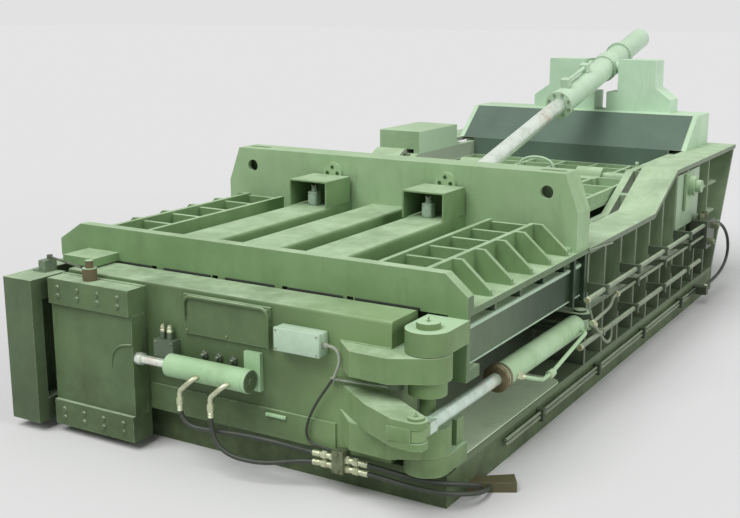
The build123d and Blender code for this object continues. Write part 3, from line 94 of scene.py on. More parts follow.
def noise_node(tree, coords, scale, detail, rough=0.6):
    """Noise on object coordinates."""
    node = tree.nodes.new("ShaderNodeTexNoise")
    node.inputs["Detail"].default_value = detail
    node.inputs["Roughness"].default_value = rough
    wire(tree, coords, node.inputs["Vector"])
    wire(tree, scale, node.inputs["Scale"])
    return node.outputs["Fac"]


def object_coords(tree):
    """Object coordinates, in which the whole machine shares one frame."""
    return tree.nodes.new("ShaderNodeTexCoord").outputs["Object"]


def edge_wear_group():
    """Mask that is 1 along worn edges, broken up by noise."""
    group, given, result = new_group("edge_wear", (("Radius", 0.006), ("Amount", 0.5)), ("Mask",))
    coords = object_coords(group)
    bevel = group.nodes.new("ShaderNodeBevel")
    bevel.samples = 4
    wire(group, given.outputs["Radius"], bevel.inputs["Radius"])
    normal = group.nodes.new("ShaderNodeNewGeometry").outputs["True Normal"]
    dot = group.nodes.new("ShaderNodeVectorMath")
    dot.operation = "DOT_PRODUCT"
    wire(group, bevel.outputs["Normal"], dot.inputs[0])
    wire(group, normal, dot.inputs[1])
    edge = step_node(group, math_node(group, "SUBTRACT", 1.0, dot.outputs["Value"]), 0.015, 0.16)
    broken = step_node(group, noise_node(group, coords, 30.0, 6.0, 0.7), 0.36, 0.6)
    worn = times(group, times(group, edge, broken), given.outputs["Amount"])
    wire(group, worn, result.inputs["Mask"])
    return group


def paint_film_group():
    """Cloudy tone of brushed paint, runs down the plate and a fine skin."""
    scales = (("Cloud Scale", 2.6), ("Skin Scale", 420.0))
    group, given, result = new_group("paint_film", scales, ("Tone", "Stain", "Height"))
    coords = object_coords(group)
    cloud = noise_node(group, coords, given.outputs["Cloud Scale"], 6.0, 0.64)
    squeeze = group.nodes.new("ShaderNodeMapping")
    squeeze.inputs["Scale"].default_value = (8.0, 8.0, 1.5)
    wire(group, coords, squeeze.inputs["Vector"])
    runs = noise_node(group, squeeze.outputs["Vector"], 1.0, 6.0, 0.72)
    skin = noise_node(group, coords, given.outputs["Skin Scale"], 2.0)
    dents = noise_node(group, coords, 6.0, 3.0)
    wire(group, cloud, result.inputs["Tone"])
    wire(group, step_node(group, runs, 0.5, 0.72), result.inputs["Stain"])
    wire(group, math_node(group, "ADD", times(group, skin, 0.12), dents), result.inputs["Height"])
    return group


def shop_dust_group():
    """Dust on faces that look up, and grime that fades out with height above the floor."""
    amounts = (("Grime Top", 0.5), ("Grime", 0.5), ("Dust", 0.4))
    group, given, result = new_group("shop_dust", amounts, ("Dust Mask", "Grime Mask"))
    place = group.nodes.new("ShaderNodeTexCoord")
    split = group.nodes.new("ShaderNodeSeparateXYZ")
    wire(group, place.outputs["Object"], split.inputs[0])
    facing = group.nodes.new("ShaderNodeSeparateXYZ")
    wire(group, place.outputs["Normal"], facing.inputs[0])
    patch = noise_node(group, place.outputs["Object"], 5.5, 6.0, 0.65)
    lying = math_node(group, "ADD", 0.45, times(group, step_node(group, patch, 0.3, 0.7), 0.55))
    up = times(group, step_node(group, facing.outputs["Z"], 0.5, 0.95), lying)
    wire(group, times(group, up, given.outputs["Dust"]), result.inputs["Dust Mask"])
    low = step_node(group, split.outputs["Z"], given.outputs["Grime Top"], 0.0)
    rough = noise_node(group, place.outputs["Object"], 9.0, 7.0, 0.7)
    dirty = times(group, low, step_node(group, rough, 0.2, 0.7))
    wire(group, times(group, dirty, given.outputs["Grime"]), result.inputs["Grime Mask"])
    return group


EDGE_WEAR = edge_wear_group()
PAINT_FILM = paint_film_group()
SHOP_DUST = shop_dust_group()


def linear(red, green, blue):
    """Display colour from 0 to 255, as linear RGBA."""
    parts = [c / 255 for c in (red, green, blue)]
    return [c / 12.92 if c <= 0.04045 else ((c + 0.055) / 1.055) ** 2.4 for c in parts] + [1.0]


def placed(tree, group, **values):
    """A shader group placed in a material with its own values."""
    node = tree.nodes.new("ShaderNodeGroup")
    node.node_tree = group
    for label, number in values.items():
        node.inputs[label.replace("_", " ")].default_value = number
    return node


def mixed(tree, factor, first, second):
    """Colour mix of two colours by a mask."""
    node = tree.nodes.new("ShaderNodeMix")
    node.data_type = "RGBA"
    wire(tree, factor, node.inputs[0])
    wire(tree, first, node.inputs[6])
    wire(tree, second, node.inputs[7])
    return node.outputs[2]


def tinted(tree, tone, mask, amount, colour):
    """Tone with an amount of a display colour laid over it inside a mask."""
    return mixed(tree, times(tree, mask, amount), tone, linear(*colour))


def material(name):
    """New node material with its Principled shader."""
    made = bpy.data.materials.new(name)
    made.use_nodes = True
    return made, made.node_tree, made.node_tree.nodes["Principled BSDF"]


def bumped(tree, shader, height, strength, distance):
    """Surface relief of a material."""
    bump = tree.nodes.new("ShaderNodeBump")
    bump.inputs["Strength"].default_value = strength
    bump.inputs["Distance"].default_value = distance
    wire(tree, height, bump.inputs["Height"])
    wire(tree, bump.outputs["Normal"], shader.inputs["Normal"])


GRIME = (54, 60, 44)
DUST = (186, 209, 175)
WORN = (196, 212, 184)


def painted_steel(name, light, dark, stain, wear=0.35, grime_top=0.3, grime=0.4, dust=0.3, gloss=0.42, shaded=None):
    """Brushed machine paint on plate, with cloudy tone, runs, dust, grime and worn edges."""
    made, tree, shader = material(name)
    film = placed(tree, PAINT_FILM)
    dirt = placed(tree, SHOP_DUST, Grime_Top=grime_top, Grime=grime, Dust=dust)
    worn = placed(tree, EDGE_WEAR, Amount=wear)
    tone = mixed(tree, step_node(tree, film.outputs["Tone"], 0.3, 0.7), linear(*dark), linear(*light))
    tone = tinted(tree, tone, film.outputs["Stain"], 0.32, stain)
    tone = mixed(tree, dirt.outputs["Grime Mask"], tone, linear(*GRIME))
    tone = mixed(tree, dirt.outputs["Dust Mask"], tone, linear(*DUST))
    if shaded:
        tone = shaded(tree, tone)
    tone = mixed(tree, worn.outputs["Mask"], tone, linear(*WORN))
    wire(tree, tone, shader.inputs["Base Color"])
    rough = math_node(tree, "ADD", gloss, times(tree, dirt.outputs["Dust Mask"], 0.4))
    rough = math_node(tree, "ADD", rough, times(tree, film.outputs["Stain"], 0.12))
    wire(tree, rough, shader.inputs["Roughness"])
    shader.inputs["Specular IOR Level"].default_value = 0.22
    bumped(tree, shader, film.outputs["Height"], 0.16, 0.004)
    return made


def finish_nodes(made, *names):
    """Give CAD nodes a finished material."""
    for name in names:
        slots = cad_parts[name].data.materials
        slots.clear()
        slots.append(made)


def along(tree, output, axis, low, high):
    """Mask that rises between two values of a coordinate, with Object for places and Normal for directions."""
    split = tree.nodes.new("ShaderNodeSeparateXYZ")
    wire(tree, tree.nodes.new("ShaderNodeTexCoord").outputs[output], split.inputs[0])
    return step_node(tree, split.outputs[axis], low, high)


def oiled_duct(tree, tone):
    """Brown, oily paint on the hose duct that lies on the floor beside the base."""
    return mixed(tree, along(tree, "Object", "X", 1.1405, 1.142), tone, linear(88, 86, 62))


def darker_outer_deck(tree, tone):
    """Darker deck outside the right wall."""
    return tinted(tree, tone, along(tree, "Object", "X", 0.855, 0.87), 0.88, (80, 92, 70))


base_green = painted_steel(
    "base_green", (100, 120, 84), (82, 99, 67), (66, 70, 48), wear=0.3, grime_top=0.4, grime=0.65, dust=0.15, gloss=0.5,
    shaded=oiled_duct)
# Painted light: the deck's green is made pale because much of the deck lies in shade under the roof.
deck_lit_green = painted_steel(
    "deck_lit_green", (176, 205, 164), (158, 189, 146), (118, 134, 100), wear=0.1, grime_top=0.2, grime=0.3, dust=0.4,
    gloss=0.45, shaded=darker_outer_deck)
finish_nodes(base_green, "base_frame")
finish_nodes(deck_lit_green, "floor_plate")

# Chamber walls and rear side frames.
# Thick plate with welded stiffeners and a folded flange on top. The flange is bright with dust. The faces in front of
# the cross beam and the stiffeners' right-facing edges carry painted shade, the bays' backs carry painted light, and
# the walls are browner low down.


def bay_light_and_shade(tree, tone):
    """Painted shade on upright faces in front of the cross beam and on right-facing edges behind it, painted light on
    the bays' backs, browner low down.
    """
    upright = along(tree, "Normal", "Z", 0.8, 0.4)
    front = times(tree, along(tree, "Object", "Y", 1.56, 1.44), upright)
    front = times(tree, front, math_node(tree, "ADD", 1.5, along(tree, "Object", "Y", 0.1, 1.1)))
    tone = tinted(tree, tone, front, 0.4, (46, 64, 46))
    rear = times(tree, along(tree, "Object", "Y", 1.49, 1.52), along(tree, "Normal", "X", 0.6, 0.9))
    backs = times(tree, rear, along(tree, "Object", "X", 0.9, 0.86))
    tone = tinted(tree, tone, backs, 0.6, (186, 192, 182))
    edges = times(tree, rear, along(tree, "Object", "X", 1.12, 1.138))
    tone = tinted(tree, tone, edges, 0.75, (98, 108, 92))
    low = times(tree, along(tree, "Object", "Z", 0.62, 0.3), upright)
    return tinted(tree, tone, low, 0.4, (78, 80, 64))


side_green = painted_steel(
    "side_green", (146, 166, 134), (122, 142, 112), (90, 100, 78), wear=0.1, grime_top=0.62, grime=0.55, dust=0.85,
    shaded=bay_light_and_shade)
finish_nodes(side_green, "wall_left", "wall_right", "side_frame_left", "side_frame_right")

# Roof of the pressing chamber, with front plate, ribs, three box beams and the cross beam.
# Flame-cut plate, fillet-welded along every foot and painted after welding. Two open boxes on the beams shield the
# limit switches.


def rim_shade(tree, tone):
    """Painted shade on the roof plate's outer edge, the face that looks right."""
    rim = times(tree, along(tree, "Object", "X", 1.139, 1.145), along(tree, "Normal", "X", 0.6, 0.9))
    return tinted(tree, tone, rim, 0.7, (84, 102, 78))


body_green = painted_steel(
    "body_green", (122, 152, 107), (108, 136, 93), (90, 106, 74), wear=0.4, grime_top=0.42, grime=0.5, dust=0.8,
    shaded=rim_shade)
beam_green = painted_steel(
    "beam_green", (158, 186, 145), (143, 172, 130), (114, 138, 100), grime_top=0.42, grime=0.5, dust=0.4)
finish_nodes(body_green, "roof_plate", "roof_front_plate", "roof_ribs_left", "roof_ribs_right", "roof_beams",
             "switch_boxes")
finish_nodes(beam_green, "cross_beam")


def deselect():
    """Leave no object selected."""
    bpy.ops.object.select_all(action="DESELECT")


def alone(piece):
    """Select one piece only, and make it the active one."""
    deselect()
    piece.select_set(True)
    bpy.context.view_layer.objects.active = piece


def settle():
    """Put the selected piece's place, turn and size into its mesh."""
    bpy.ops.object.transform_apply(location=True, rotation=True, scale=True)


def joined(name, pieces):
    """Join parts into one piece."""
    alone(pieces[0])
    for piece in pieces:
        piece.select_set(True)
    if len(pieces) > 1:
        bpy.ops.object.join()
    pieces[0].name = pieces[0].data.name = name
    return pieces[0]


def fit(piece, body, slot, made, *nodes):
    """Finish a piece: its material, the body it moves with and the CAD nodes it stands for; the slot is not used."""
    piece.data.materials.clear()
    piece.data.materials.append(made)
    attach(piece, body)
    if nodes:
        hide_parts(*nodes)
    return piece


def weld_bead(name, width, runs):
    """Overlapping puddles along straight runs in mm, as a stick weld leaves them."""
    beads = []
    for start, end in runs:
        first = Vector(start) / 1000
        way = Vector(end) / 1000 - first
        deselect()
        bpy.ops.mesh.primitive_ico_sphere_add(subdivisions=1, radius=width / 2000, location=first)
        puddle = bpy.context.object
        settle()
        row = puddle.modifiers.new("row", "ARRAY")
        row.count = max(2, round(way.length / (0.0006 * width)))
        row.use_relative_offset = False
        row.use_constant_offset = True
        row.constant_offset_displace = way / (row.count - 1)
        bpy.ops.object.modifier_apply(modifier="row")
        bpy.ops.object.shade_smooth()
        beads.append(puddle)
    return joined(name, beads)


ROOF_Z = 850
ROOF_HALF_W = 1136
PLATE_BACK = 60
PLATE_TOP = 996
CROSS_BEAM_Y = 1319
BEAM_FEET = (-490, -250, -120, 120, 250, 490)
INNER_RIBS = (-670, 670)
INNER_RIB_END = 1228
roof_runs = [((x, PLATE_BACK + 2, ROOF_Z), (x, CROSS_BEAM_Y - 1, ROOF_Z)) for x in BEAM_FEET]
roof_runs += [((x, PLATE_BACK + 2, ROOF_Z), (x, INNER_RIB_END, ROOF_Z)) for x in INNER_RIBS]
roof_runs += [((-ROOF_HALF_W, y, ROOF_Z), (ROOF_HALF_W, y, ROOF_Z)) for y in (CROSS_BEAM_Y, PLATE_BACK)]
roof_runs += [((x, PLATE_BACK, ROOF_Z + 2), (x, PLATE_BACK, PLATE_TOP)) for x in INNER_RIBS]
fit(weld_bead("roof_welds", 13, roof_runs), "frame", "green_paint", body_green)

# Limit switches on the outer roof beams.
# Die-cast bodies with a screwed front cover, a turned neck and a roller in a steel fork. Each stands in its open box
# and is tripped by the lid.
UP = (0, 0, 1)
FRONT = (0, -1, 0)
BACK = (0, 1, 0)
RIGHT = (1, 0, 0)
LEFT = (-1, 0, 0)
SMOOTH_BELOW = math.radians(35)


def mode(name):
    """Go to edit or object mode."""
    bpy.ops.object.mode_set(mode=name)


def turned(name, rings, sides=32):
    """Part turned about Z: a disc drawn up through rings of radius and height in mm."""
    deselect()
    wide, high = rings[0]
    bpy.ops.mesh.primitive_circle_add(vertices=sides, radius=wide / 1000, fill_type="NGON",
                                      location=(0, 0, high / 1000))
    piece = bpy.context.object
    piece.name = piece.data.name = name
    settle()
    mode("EDIT")
    bpy.ops.mesh.select_all(action="SELECT")
    for next_wide, next_high in rings[1:]:
        bpy.ops.mesh.extrude_region_move(TRANSFORM_OT_translate={"value": (0, 0, (next_high - high) / 1000)})
        share = next_wide / wide
        bpy.ops.transform.resize(value=(share, share, 1), center_override=(0, 0, next_high / 1000))
        wide, high = next_wide, next_high
    bpy.ops.mesh.select_all(action="SELECT")
    bpy.ops.mesh.normals_make_consistent(inside=False)
    mode("OBJECT")
    bpy.ops.object.shade_smooth_by_angle(angle=SMOOTH_BELOW)
    return piece


def set_on(piece, place, way):
    """Stand a part that was made along Z at a place in mm, along a direction, with that place in its mesh."""
    piece.location = [c / 1000 for c in place]
    piece.rotation_euler = Vector(way).to_track_quat("Z", "Y").to_euler()
    alone(piece)
    settle()
    return piece


def copies_at(name, pattern, spots):
    """Copies of a pattern part, each with its own mesh, at places and directions, joined into one piece."""
    made = []
    for place, way in spots:
        copy = pattern.copy()
        copy.data = pattern.data.copy()
        bpy.context.collection.objects.link(copy)
        made.append(set_on(copy, place, way))
    bpy.data.objects.remove(pattern)
    return joined(name, made)


def eased_block(name, low, high, ease):
    """Block between two corners in mm, its edges broken with a small round."""
    deselect()
    middle = [(a + b) / 2000 for a, b in zip(low, high)]
    bpy.ops.mesh.primitive_cube_add(size=1, location=middle, scale=[(b - a) / 1000 for a, b in zip(low, high)])
    block = bpy.context.object
    block.name = block.data.name = name
    settle()
    mode("EDIT")
    bpy.ops.mesh.select_all(action="SELECT")
    bpy.ops.mesh.bevel(offset=ease / 1000, segments=2, affect="EDGES")
    mode("OBJECT")
    bpy.ops.object.shade_smooth_by_angle(angle=SMOOTH_BELOW)
    return block


def screw_head(name, radius, height):
    """Round screw head with a domed rim and a sunk drive."""
    return turned(name, ((radius, -1), (radius, 0.6 * height), (0.8 * radius, height), (0.45 * radius, height),
                         (0.4 * radius, 0.4 * height)), 16)


def handled_group():
    """Smears of handling and oil, and a fine grain."""
    group, given, result = new_group("handled", (("Smear Scale", 14.0), ("Grain Scale", 300.0)), ("Smear", "Grain"))
    coords = object_coords(group)
    wire(group, noise_node(group, coords, given.outputs["Smear Scale"], 6.0, 0.65), result.inputs["Smear"])
    wire(group, noise_node(group, coords, given.outputs["Grain Scale"], 2.0), result.inputs["Grain"])
    return group


HANDLED = handled_group()


def rubbed(name, clean, marked, rough, start, relief, metallic=0.0, **scales):
    """Material with handling marks that lead from one colour to another, and a fine grain."""
    made, tree, shader = material(name)
    marks = placed(tree, HANDLED, **scales)
    patch = step_node(tree, marks.outputs["Smear"], start, 0.75)
    wire(tree, mixed(tree, patch, clean, marked), shader.inputs["Base Color"])
    dull = math_node(tree, "ADD", rough, times(tree, marks.outputs["Smear"], 0.2))
    wire(tree, dull, shader.inputs["Roughness"])
    shader.inputs["Metallic"].default_value = metallic
    bumped(tree, shader, marks.outputs["Grain"], relief, 0.001)
    return made


def moulded(name, colour, rough, dull=0.74):
    """Moulded plastic, cast housing or rubber."""
    clean = linear(*colour)
    darker = [c * dull for c in clean[:3]] + [1.0]
    return rubbed(name, clean, darker, rough, 0.35, 0.1, Smear_Scale=18.0, Grain_Scale=380.0)


def metal(name, colour, rough, oiled, metallic=1.0):
    """Bare or plated metal with a film of oil."""
    return rubbed(name, linear(*colour), linear(*oiled), rough, 0.42, 0.08, metallic)


steel = metal("worn_steel", (170, 176, 160), 0.3, (116, 118, 102))
switch_alloy = moulded("switch_alloy", (156, 178, 158), 0.42, 0.85)
SWITCH_X = 370
SWITCH_Y = 1110
SWITCH_Z = 998
SWITCH_TOP = 1078
NECK = ((20, 0), (20, 5), (17, 6), (17, 16), (13, 20), (13, 24))
ENTRY = ((13, 0), (13, 8), (10, 9), (10, 18), (7, 20))
ROLLER = ((5, -14), (5, -9), (13, -8.5), (14.5, -7), (14.5, 7), (13, 8.5), (5, 9), (5, 14))
switch_cases = []
switch_rollers = []
for x in (-SWITCH_X, SWITCH_X):
    switch_cases += [
        eased_block("case", (x - 29, SWITCH_Y - 26, SWITCH_Z), (x + 29, SWITCH_Y + 26, SWITCH_TOP), 4),
        eased_block("cover", (x - 25, SWITCH_Y - 29, SWITCH_Z + 6), (x + 25, SWITCH_Y - 24, SWITCH_TOP - 6), 1.5),
        set_on(turned("neck", NECK), (x, SWITCH_Y, SWITCH_TOP), UP),
        set_on(turned("entry", ENTRY, 6), (x, SWITCH_Y + 24, SWITCH_Z + 22), BACK)]
    spots = [((x + a, SWITCH_Y - 29, SWITCH_TOP - 40 + b), FRONT) for a in (-19, 19) for b in (-28, 28)]
    for a in (-12, 12):
        low = (x + a - 3, SWITCH_Y - 9, SWITCH_TOP + 18)
        switch_rollers.append(eased_block("cheek", low, (x + a + 3, SWITCH_Y + 9, SWITCH_TOP + 38), 1.5))
    switch_rollers += [set_on(turned("roller", ROLLER), (x, SWITCH_Y, SWITCH_TOP + 23), RIGHT),
                       copies_at("screws", screw_head("screw", 3.5, 2.5), spots)]
fit(joined("limit_switch_cases", switch_cases), "frame", "plastic", switch_alloy, "limit_switches")
fit(joined("limit_switch_rollers", switch_rollers), "frame", "steel", steel)

# Plates and edges added along the chamber's right and left sides.
# A tread plate on the deck under the gate cylinder, near white as painted light where it lies in shade, bars along the
# rails' edges, dark rubber strips in the gap above the gate as painted shade for its shadow, plates that close the bays
# round the lid's shaft, and ribs in the last bays, all welded or screwed on.
# Painted light: the tread plate is near white because it lies in shade under the gate cylinder.
tread_lit_green = painted_steel(
    "tread_lit_green", (226, 244, 214), (212, 232, 200), (166, 186, 148), wear=0.1, grime_top=0.1, grime=0.1, dust=0.1,
    gloss=0.4)
TREAD_MIDDLE = (0.998, 0.602, 0.181)
TREAD_SIZE = (0.272, 1.196, 0.006)
TREAD_CORNER = 0.07
deselect()
bpy.ops.mesh.primitive_cube_add(size=1, location=TREAD_MIDDLE, scale=TREAD_SIZE)
tread = bpy.context.object
tread.name = tread.data.name = "deck_tread"
settle()
mode("EDIT")
bpy.ops.mesh.select_mode(type="EDGE")
bpy.ops.mesh.select_all(action="DESELECT")
mode("OBJECT")
for edge in tread.data.edges:
    ends = [tread.data.vertices[i].co for i in edge.vertices]
    edge.select = all(end.x > TREAD_MIDDLE[0] and end.y > TREAD_MIDDLE[1] for end in ends)
mode("EDIT")
bpy.ops.mesh.bevel(offset=TREAD_CORNER, segments=8, affect="EDGES")
bpy.ops.mesh.select_mode(type="VERT")
mode("OBJECT")
ease = tread.modifiers.new("ease", "BEVEL")
ease.width = 0.0015
ease.segments = 2
ease.limit_method = "ANGLE"
bpy.ops.object.modifier_apply(modifier="ease")
fit(tread, "frame", "green_paint", tread_lit_green)

RAIL_X = 1112
RAIL_FRONT = 62
RAIL_BACK = 1495
rail_bars = []
for x in (-RAIL_X, RAIL_X):
    rail_bars += [eased_block("rail_top", (x - 14, RAIL_FRONT, 745), (x + 14, RAIL_BACK, 767), 8),
                  eased_block("rail_foot", (x - 6, RAIL_FRONT, 586), (x + 14, RAIL_BACK, 594), 3)]
rail_green = painted_steel(
    "rail_green", (182, 206, 182), (164, 188, 164), (130, 148, 126), wear=0.2, grime_top=0.2, grime=0.2, gloss=0.34)
fit(joined("rail_bars", rail_bars), "frame", "green_paint", rail_green)

# Painted shade: dark strips set in the gap above the gate to stand for its shadow.
shadow_strip_rubber = moulded("shadow_strip_rubber", (40, 46, 38), 0.5)
SHADOW_STRIP_ENDS = ((-840, -628), (-540, -242), (-152, 140), (214, 522), (588, 920))
shadow_strips = [eased_block("seal", (low, -5, 821), (high, 1, 834), 1.5) for low, high in SHADOW_STRIP_ENDS]
fit(joined("gate_shadow_strips", shadow_strips), "frame", "rubber", shadow_strip_rubber)

SHAFT_BAY = (3168, 3705)
LAST_BAYS = ((3720, 3971), (3995, 4246))
BAY_RIB_Z = (612, 826)
BAY_RIB_T = 16
bay_plates = []
bay_ribs = []
for low, high in ((-1145, -1130), (1130, 1145)):
    bay_plates.append(eased_block("bay", (low, SHAFT_BAY[0], 640), (high, SHAFT_BAY[1], 1012), 2))
for low, high in ((-1132, -848), (848, 1132)):
    for start, end in LAST_BAYS:
        bay_ribs += [eased_block("rib", (low, start, z), (high, end, z + BAY_RIB_T), 2) for z in BAY_RIB_Z]
bay_green = painted_steel(
    "bay_green", (154, 176, 148), (138, 160, 132), (112, 128, 104), wear=0.2, grime_top=0.2, grime=0.3)
fit(joined("shaft_bay_plates", bay_plates), "frame", "green_paint", bay_green)
fit(joined("rear_bay_ribs", bay_ribs), "frame", "green_paint", side_green)

# Lid, its shaft, rear deck, rear box and trunnion stands.
# Plate work round the charging opening, paler than the front; the pale green is partly painted light, for the brighter
# light at the rear. The faces inside the rear box that look to the front are darker, in blotches.


def darker_inside(tree, tone):
    """Darken the faces that look to the front between the box's cheeks."""
    between = times(tree, along(tree, "Object", "X", -0.9, -0.89), along(tree, "Object", "X", 0.9, 0.89))
    inside = times(tree, along(tree, "Normal", "Y", -0.35, -0.6), between)
    blotches = noise_node(tree, object_coords(tree), 4.0, 6.0, 0.6)
    return mixed(tree, inside, tone, mixed(tree, blotches, linear(78, 96, 84), linear(102, 122, 108)))


# Painted light: the rear greens are pale partly to stand for the brighter light at the rear.
rear_green = painted_steel(
    "rear_green", (196, 222, 196), (180, 208, 180), (148, 172, 144), wear=0.4, grime=0.3, dust=0.4)
rear_box_green = painted_steel(
    "rear_box_green", (190, 216, 188), (174, 202, 172), (146, 168, 140), wear=0.4, grime=0.3, dust=0.5,
    shaded=darker_inside)
lid_green = painted_steel("lid_green", (148, 174, 138), (133, 159, 122), (106, 126, 94), wear=0.4, dust=0.9)
finish_nodes(rear_green, "trunnion_stand_left", "trunnion_stand_right", "main_cylinder", "ram", "lid_clevis")
finish_nodes(rear_box_green, "rear_wall")
finish_nodes(lid_green, "rear_deck", "lid_panel", "shaft_plates", "lid_shaft")


def lit_side(tree, tone):
    """Painted light on the side that looks right, into the charging opening."""
    return tinted(tree, tone, along(tree, "Normal", "X", 0.5, 0.9), 0.7, (200, 224, 198))


lid_box_green = painted_steel(
    "lid_box_green", (148, 174, 138), (133, 159, 122), (106, 126, 94), wear=0.3, dust=0.7, shaded=lit_side)
finish_nodes(lid_box_green, "lid_box")


def round_bar(name, route, radius, steps, sides):
    """Curve of round bar on a NURBS line, with the route's points in metres as control points."""
    curve = bpy.data.curves.new(name, "CURVE")
    curve.dimensions = "3D"
    spline = curve.splines.new("NURBS")
    spline.points.add(len(route) - 1)
    for point, place in zip(spline.points, route):
        point.co = (*place, 1.0)
    spline.order_u = 3
    spline.use_endpoint_u = True
    spline.resolution_u = steps
    curve.bevel_depth = radius
    curve.bevel_resolution = sides
    curve.use_fill_caps = True
    bar = bpy.data.objects.new(name, curve)
    bpy.context.collection.objects.link(bar)
    return bar


def meshed(bar):
    """Turn a curve into a mesh."""
    alone(bar)
    bpy.ops.object.convert(target="MESH")
    return bpy.context.object


def bent_rod(name, points, radius):
    """Round bar bent along points in mm, with flowing bends, as a mesh."""
    return meshed(round_bar(name, [[c / 1000 for c in point] for point in points], radius / 1000, 10, 4))


HANDLE_Y = 3780
HANDLE = ((-253, 858), (-253, 912), (-235, 950), (-180, 976), (-110, 984), (-45, 976), (9, 950), (27, 912), (27, 858))
handle = bent_rod("deck_handle", [(x, HANDLE_Y, z) for x, z in HANDLE], 9)
fit(handle, "frame", "green_paint", rear_green)
knob = turned("deck_pin", ((15, 0), (15, 10), (9, 12), (9, 74), (14, 77), (15, 82), (14, 92), (9, 96)), 24)
fit(set_on(knob, (578, 4080, 859), UP), "frame", "green_paint", rear_green)

BOX_TOP = 1290
STAND_FEET = (-448, 165)
STAND_W = 513
STAND_FRONT = 4510
STAND_BACK = 4722
stand_runs = [((x, STAND_FRONT, BOX_TOP), (x + STAND_W, STAND_FRONT, BOX_TOP)) for x in STAND_FEET]
for x in STAND_FEET:
    stand_runs += [((x + w, STAND_FRONT + 2, BOX_TOP), (x + w, STAND_BACK, BOX_TOP)) for w in (0, STAND_W)]
fit(weld_bead("stand_welds", 13, stand_runs), "frame", "green_paint", rear_green)

# Lid cylinder.
# A trunnion-hung hydraulic cylinder: a thick painted barrel with a bolted gland, and a hard-chromed rod that is
# whitish with dust and lightly rusted where the gland seal stops.


def rod_chrome(name, axis, start, rust, light=(226, 236, 224), dark=(196, 208, 192), eye=None):
    """Hard chrome on a rod, with draw marks along it, a rusty ring near one end of its travel and a painted eye."""
    made, tree, shader = material(name)
    place = object_coords(tree)
    reach = tree.nodes.new("ShaderNodeVectorMath")
    reach.operation = "DOT_PRODUCT"
    wire(tree, place, reach.inputs[0])
    reach.inputs[1].default_value = axis
    marks = placed(tree, HANDLED, Smear_Scale=11.0, Grain_Scale=320.0)
    tone = mixed(tree, step_node(tree, marks.outputs["Smear"], 0.4, 0.75), linear(*light), linear(*dark))
    off = math_node(tree, "ABSOLUTE", math_node(tree, "SUBTRACT", reach.outputs["Value"], start), 0.0)
    near = step_node(tree, off, 0.22, 0.0)
    spots = step_node(tree, noise_node(tree, place, 16.0, 5.0, 0.7), 0.46, 0.66)
    tone = tinted(tree, tone, times(tree, near, spots), rust, (196, 150, 128))
    if eye:
        painted = step_node(tree, reach.outputs["Value"], eye + 0.002, eye - 0.002)
        tone = mixed(tree, painted, tone, linear(132, 158, 110))
    wire(tree, tone, shader.inputs["Base Color"])
    dull = math_node(tree, "ADD", 0.2, times(tree, marks.outputs["Smear"], 0.22))
    wire(tree, dull, shader.inputs["Roughness"])
    shader.inputs["Metallic"].default_value = 0.55
    bumped(tree, shader, marks.outputs["Grain"], 0.06, 0.001)
    return made


def stacked(name, *parts):
    """Part of several turned lengths on one axis, each with its rings and number of sides."""
    return joined(name, [turned(name, rings, sides) for rings, sides in parts])


def hex_bolt(name, radius, height):
    """Hexagon head with chamfered corners on a flat washer."""
    head = ((radius, 0), (radius, 0.78 * height), (0.85 * radius, height))
    washer = ((1.22 * radius, -1), (1.22 * radius, 0.2 * height), (radius, 0.27 * height))
    return stacked(name, (head, 6), (washer, 24))


LID_PIVOT = Vector((115, 4600, 1629))
LID_WAY = Vector((0, -0.97324, -0.22978))
LID_UP = Vector((0, -0.22978, 0.97324))
# Painted light: the barrel's pale green partly stands for the brighter light at the rear.
lid_cylinder_green = painted_steel(
    "lid_cylinder_green", (190, 213, 189), (174, 199, 173), (146, 168, 142), wear=0.3, grime_top=0.2, grime=0.2,
    gloss=0.34)
finish_nodes(lid_cylinder_green, "lid_barrel")
finish_nodes(rod_chrome("lid_rod_chrome", (0, 0.97324, 0.22978), 3.52, 0.7), "lid_rod")
GLAND_REACH = 1014
GLAND_BOLTS = 8
GLAND_RING = 80
gland_spots = []
for i in range(GLAND_BOLTS):
    turn = math.tau * (i + 0.5) / GLAND_BOLTS
    ring = GLAND_RING * (math.cos(turn) * Vector(RIGHT) + math.sin(turn) * LID_UP)
    gland_spots.append((LID_PIVOT + GLAND_REACH * LID_WAY + ring, LID_WAY))
fit(copies_at("lid_gland_bolts", hex_bolt("gland_bolt", 10, 11), gland_spots), "lid_cylinder", "steel", steel)

# Gate with its hinge arms, lever and hinge.
# A thick slab with flame-cut arms welded to its right end, hung on a greased pin between two lugs. The coat has
# yellowed and stained more than the roof's.


def brighter_end(tree, tone):
    """Lighter, yellower colour towards the hinge end of the gate."""
    return tinted(tree, tone, along(tree, "Object", "X", 0.15, 0.8), 0.62, (138, 166, 114))


gate_green = painted_steel(
    "gate_green", (97, 120, 83), (80, 99, 67), (78, 82, 52), wear=0.3, grime_top=0.55, grime=0.5, dust=0.76,
    shaded=brighter_end)
hinge_green = painted_steel(
    "hinge_green", (124, 150, 104), (107, 132, 89), (92, 104, 68), grime_top=0.5, grime=0.5, dust=0.8)


def pale_tops(tree, tone):
    """Paler colour on faces that look up."""
    return tinted(tree, tone, along(tree, "Normal", "Z", 0.8, 0.95), 0.75, (184, 214, 177))


lug_green = painted_steel(
    "lug_green", (120, 145, 100), (103, 127, 86), (90, 102, 67), grime_top=0.5, grime=0.5, dust=0.8, shaded=pale_tops)
finish_nodes(gate_green, "gate_slab", "gate_cover")
finish_nodes(hinge_green, "gate_arms", "gate_lever")
finish_nodes(lug_green, "hinge_lugs", "hinge_pin")
GATE_FACE = -238
COVER_FACE = -252
ARM_EDGES = (708, 596, 510, 266)
arm_runs = [((664, GATE_FACE - 1, z), (908, GATE_FACE - 1, z)) for z in ARM_EDGES]
fit(weld_bead("arm_welds", 13, arm_runs), "gate", "green_paint", hinge_green)

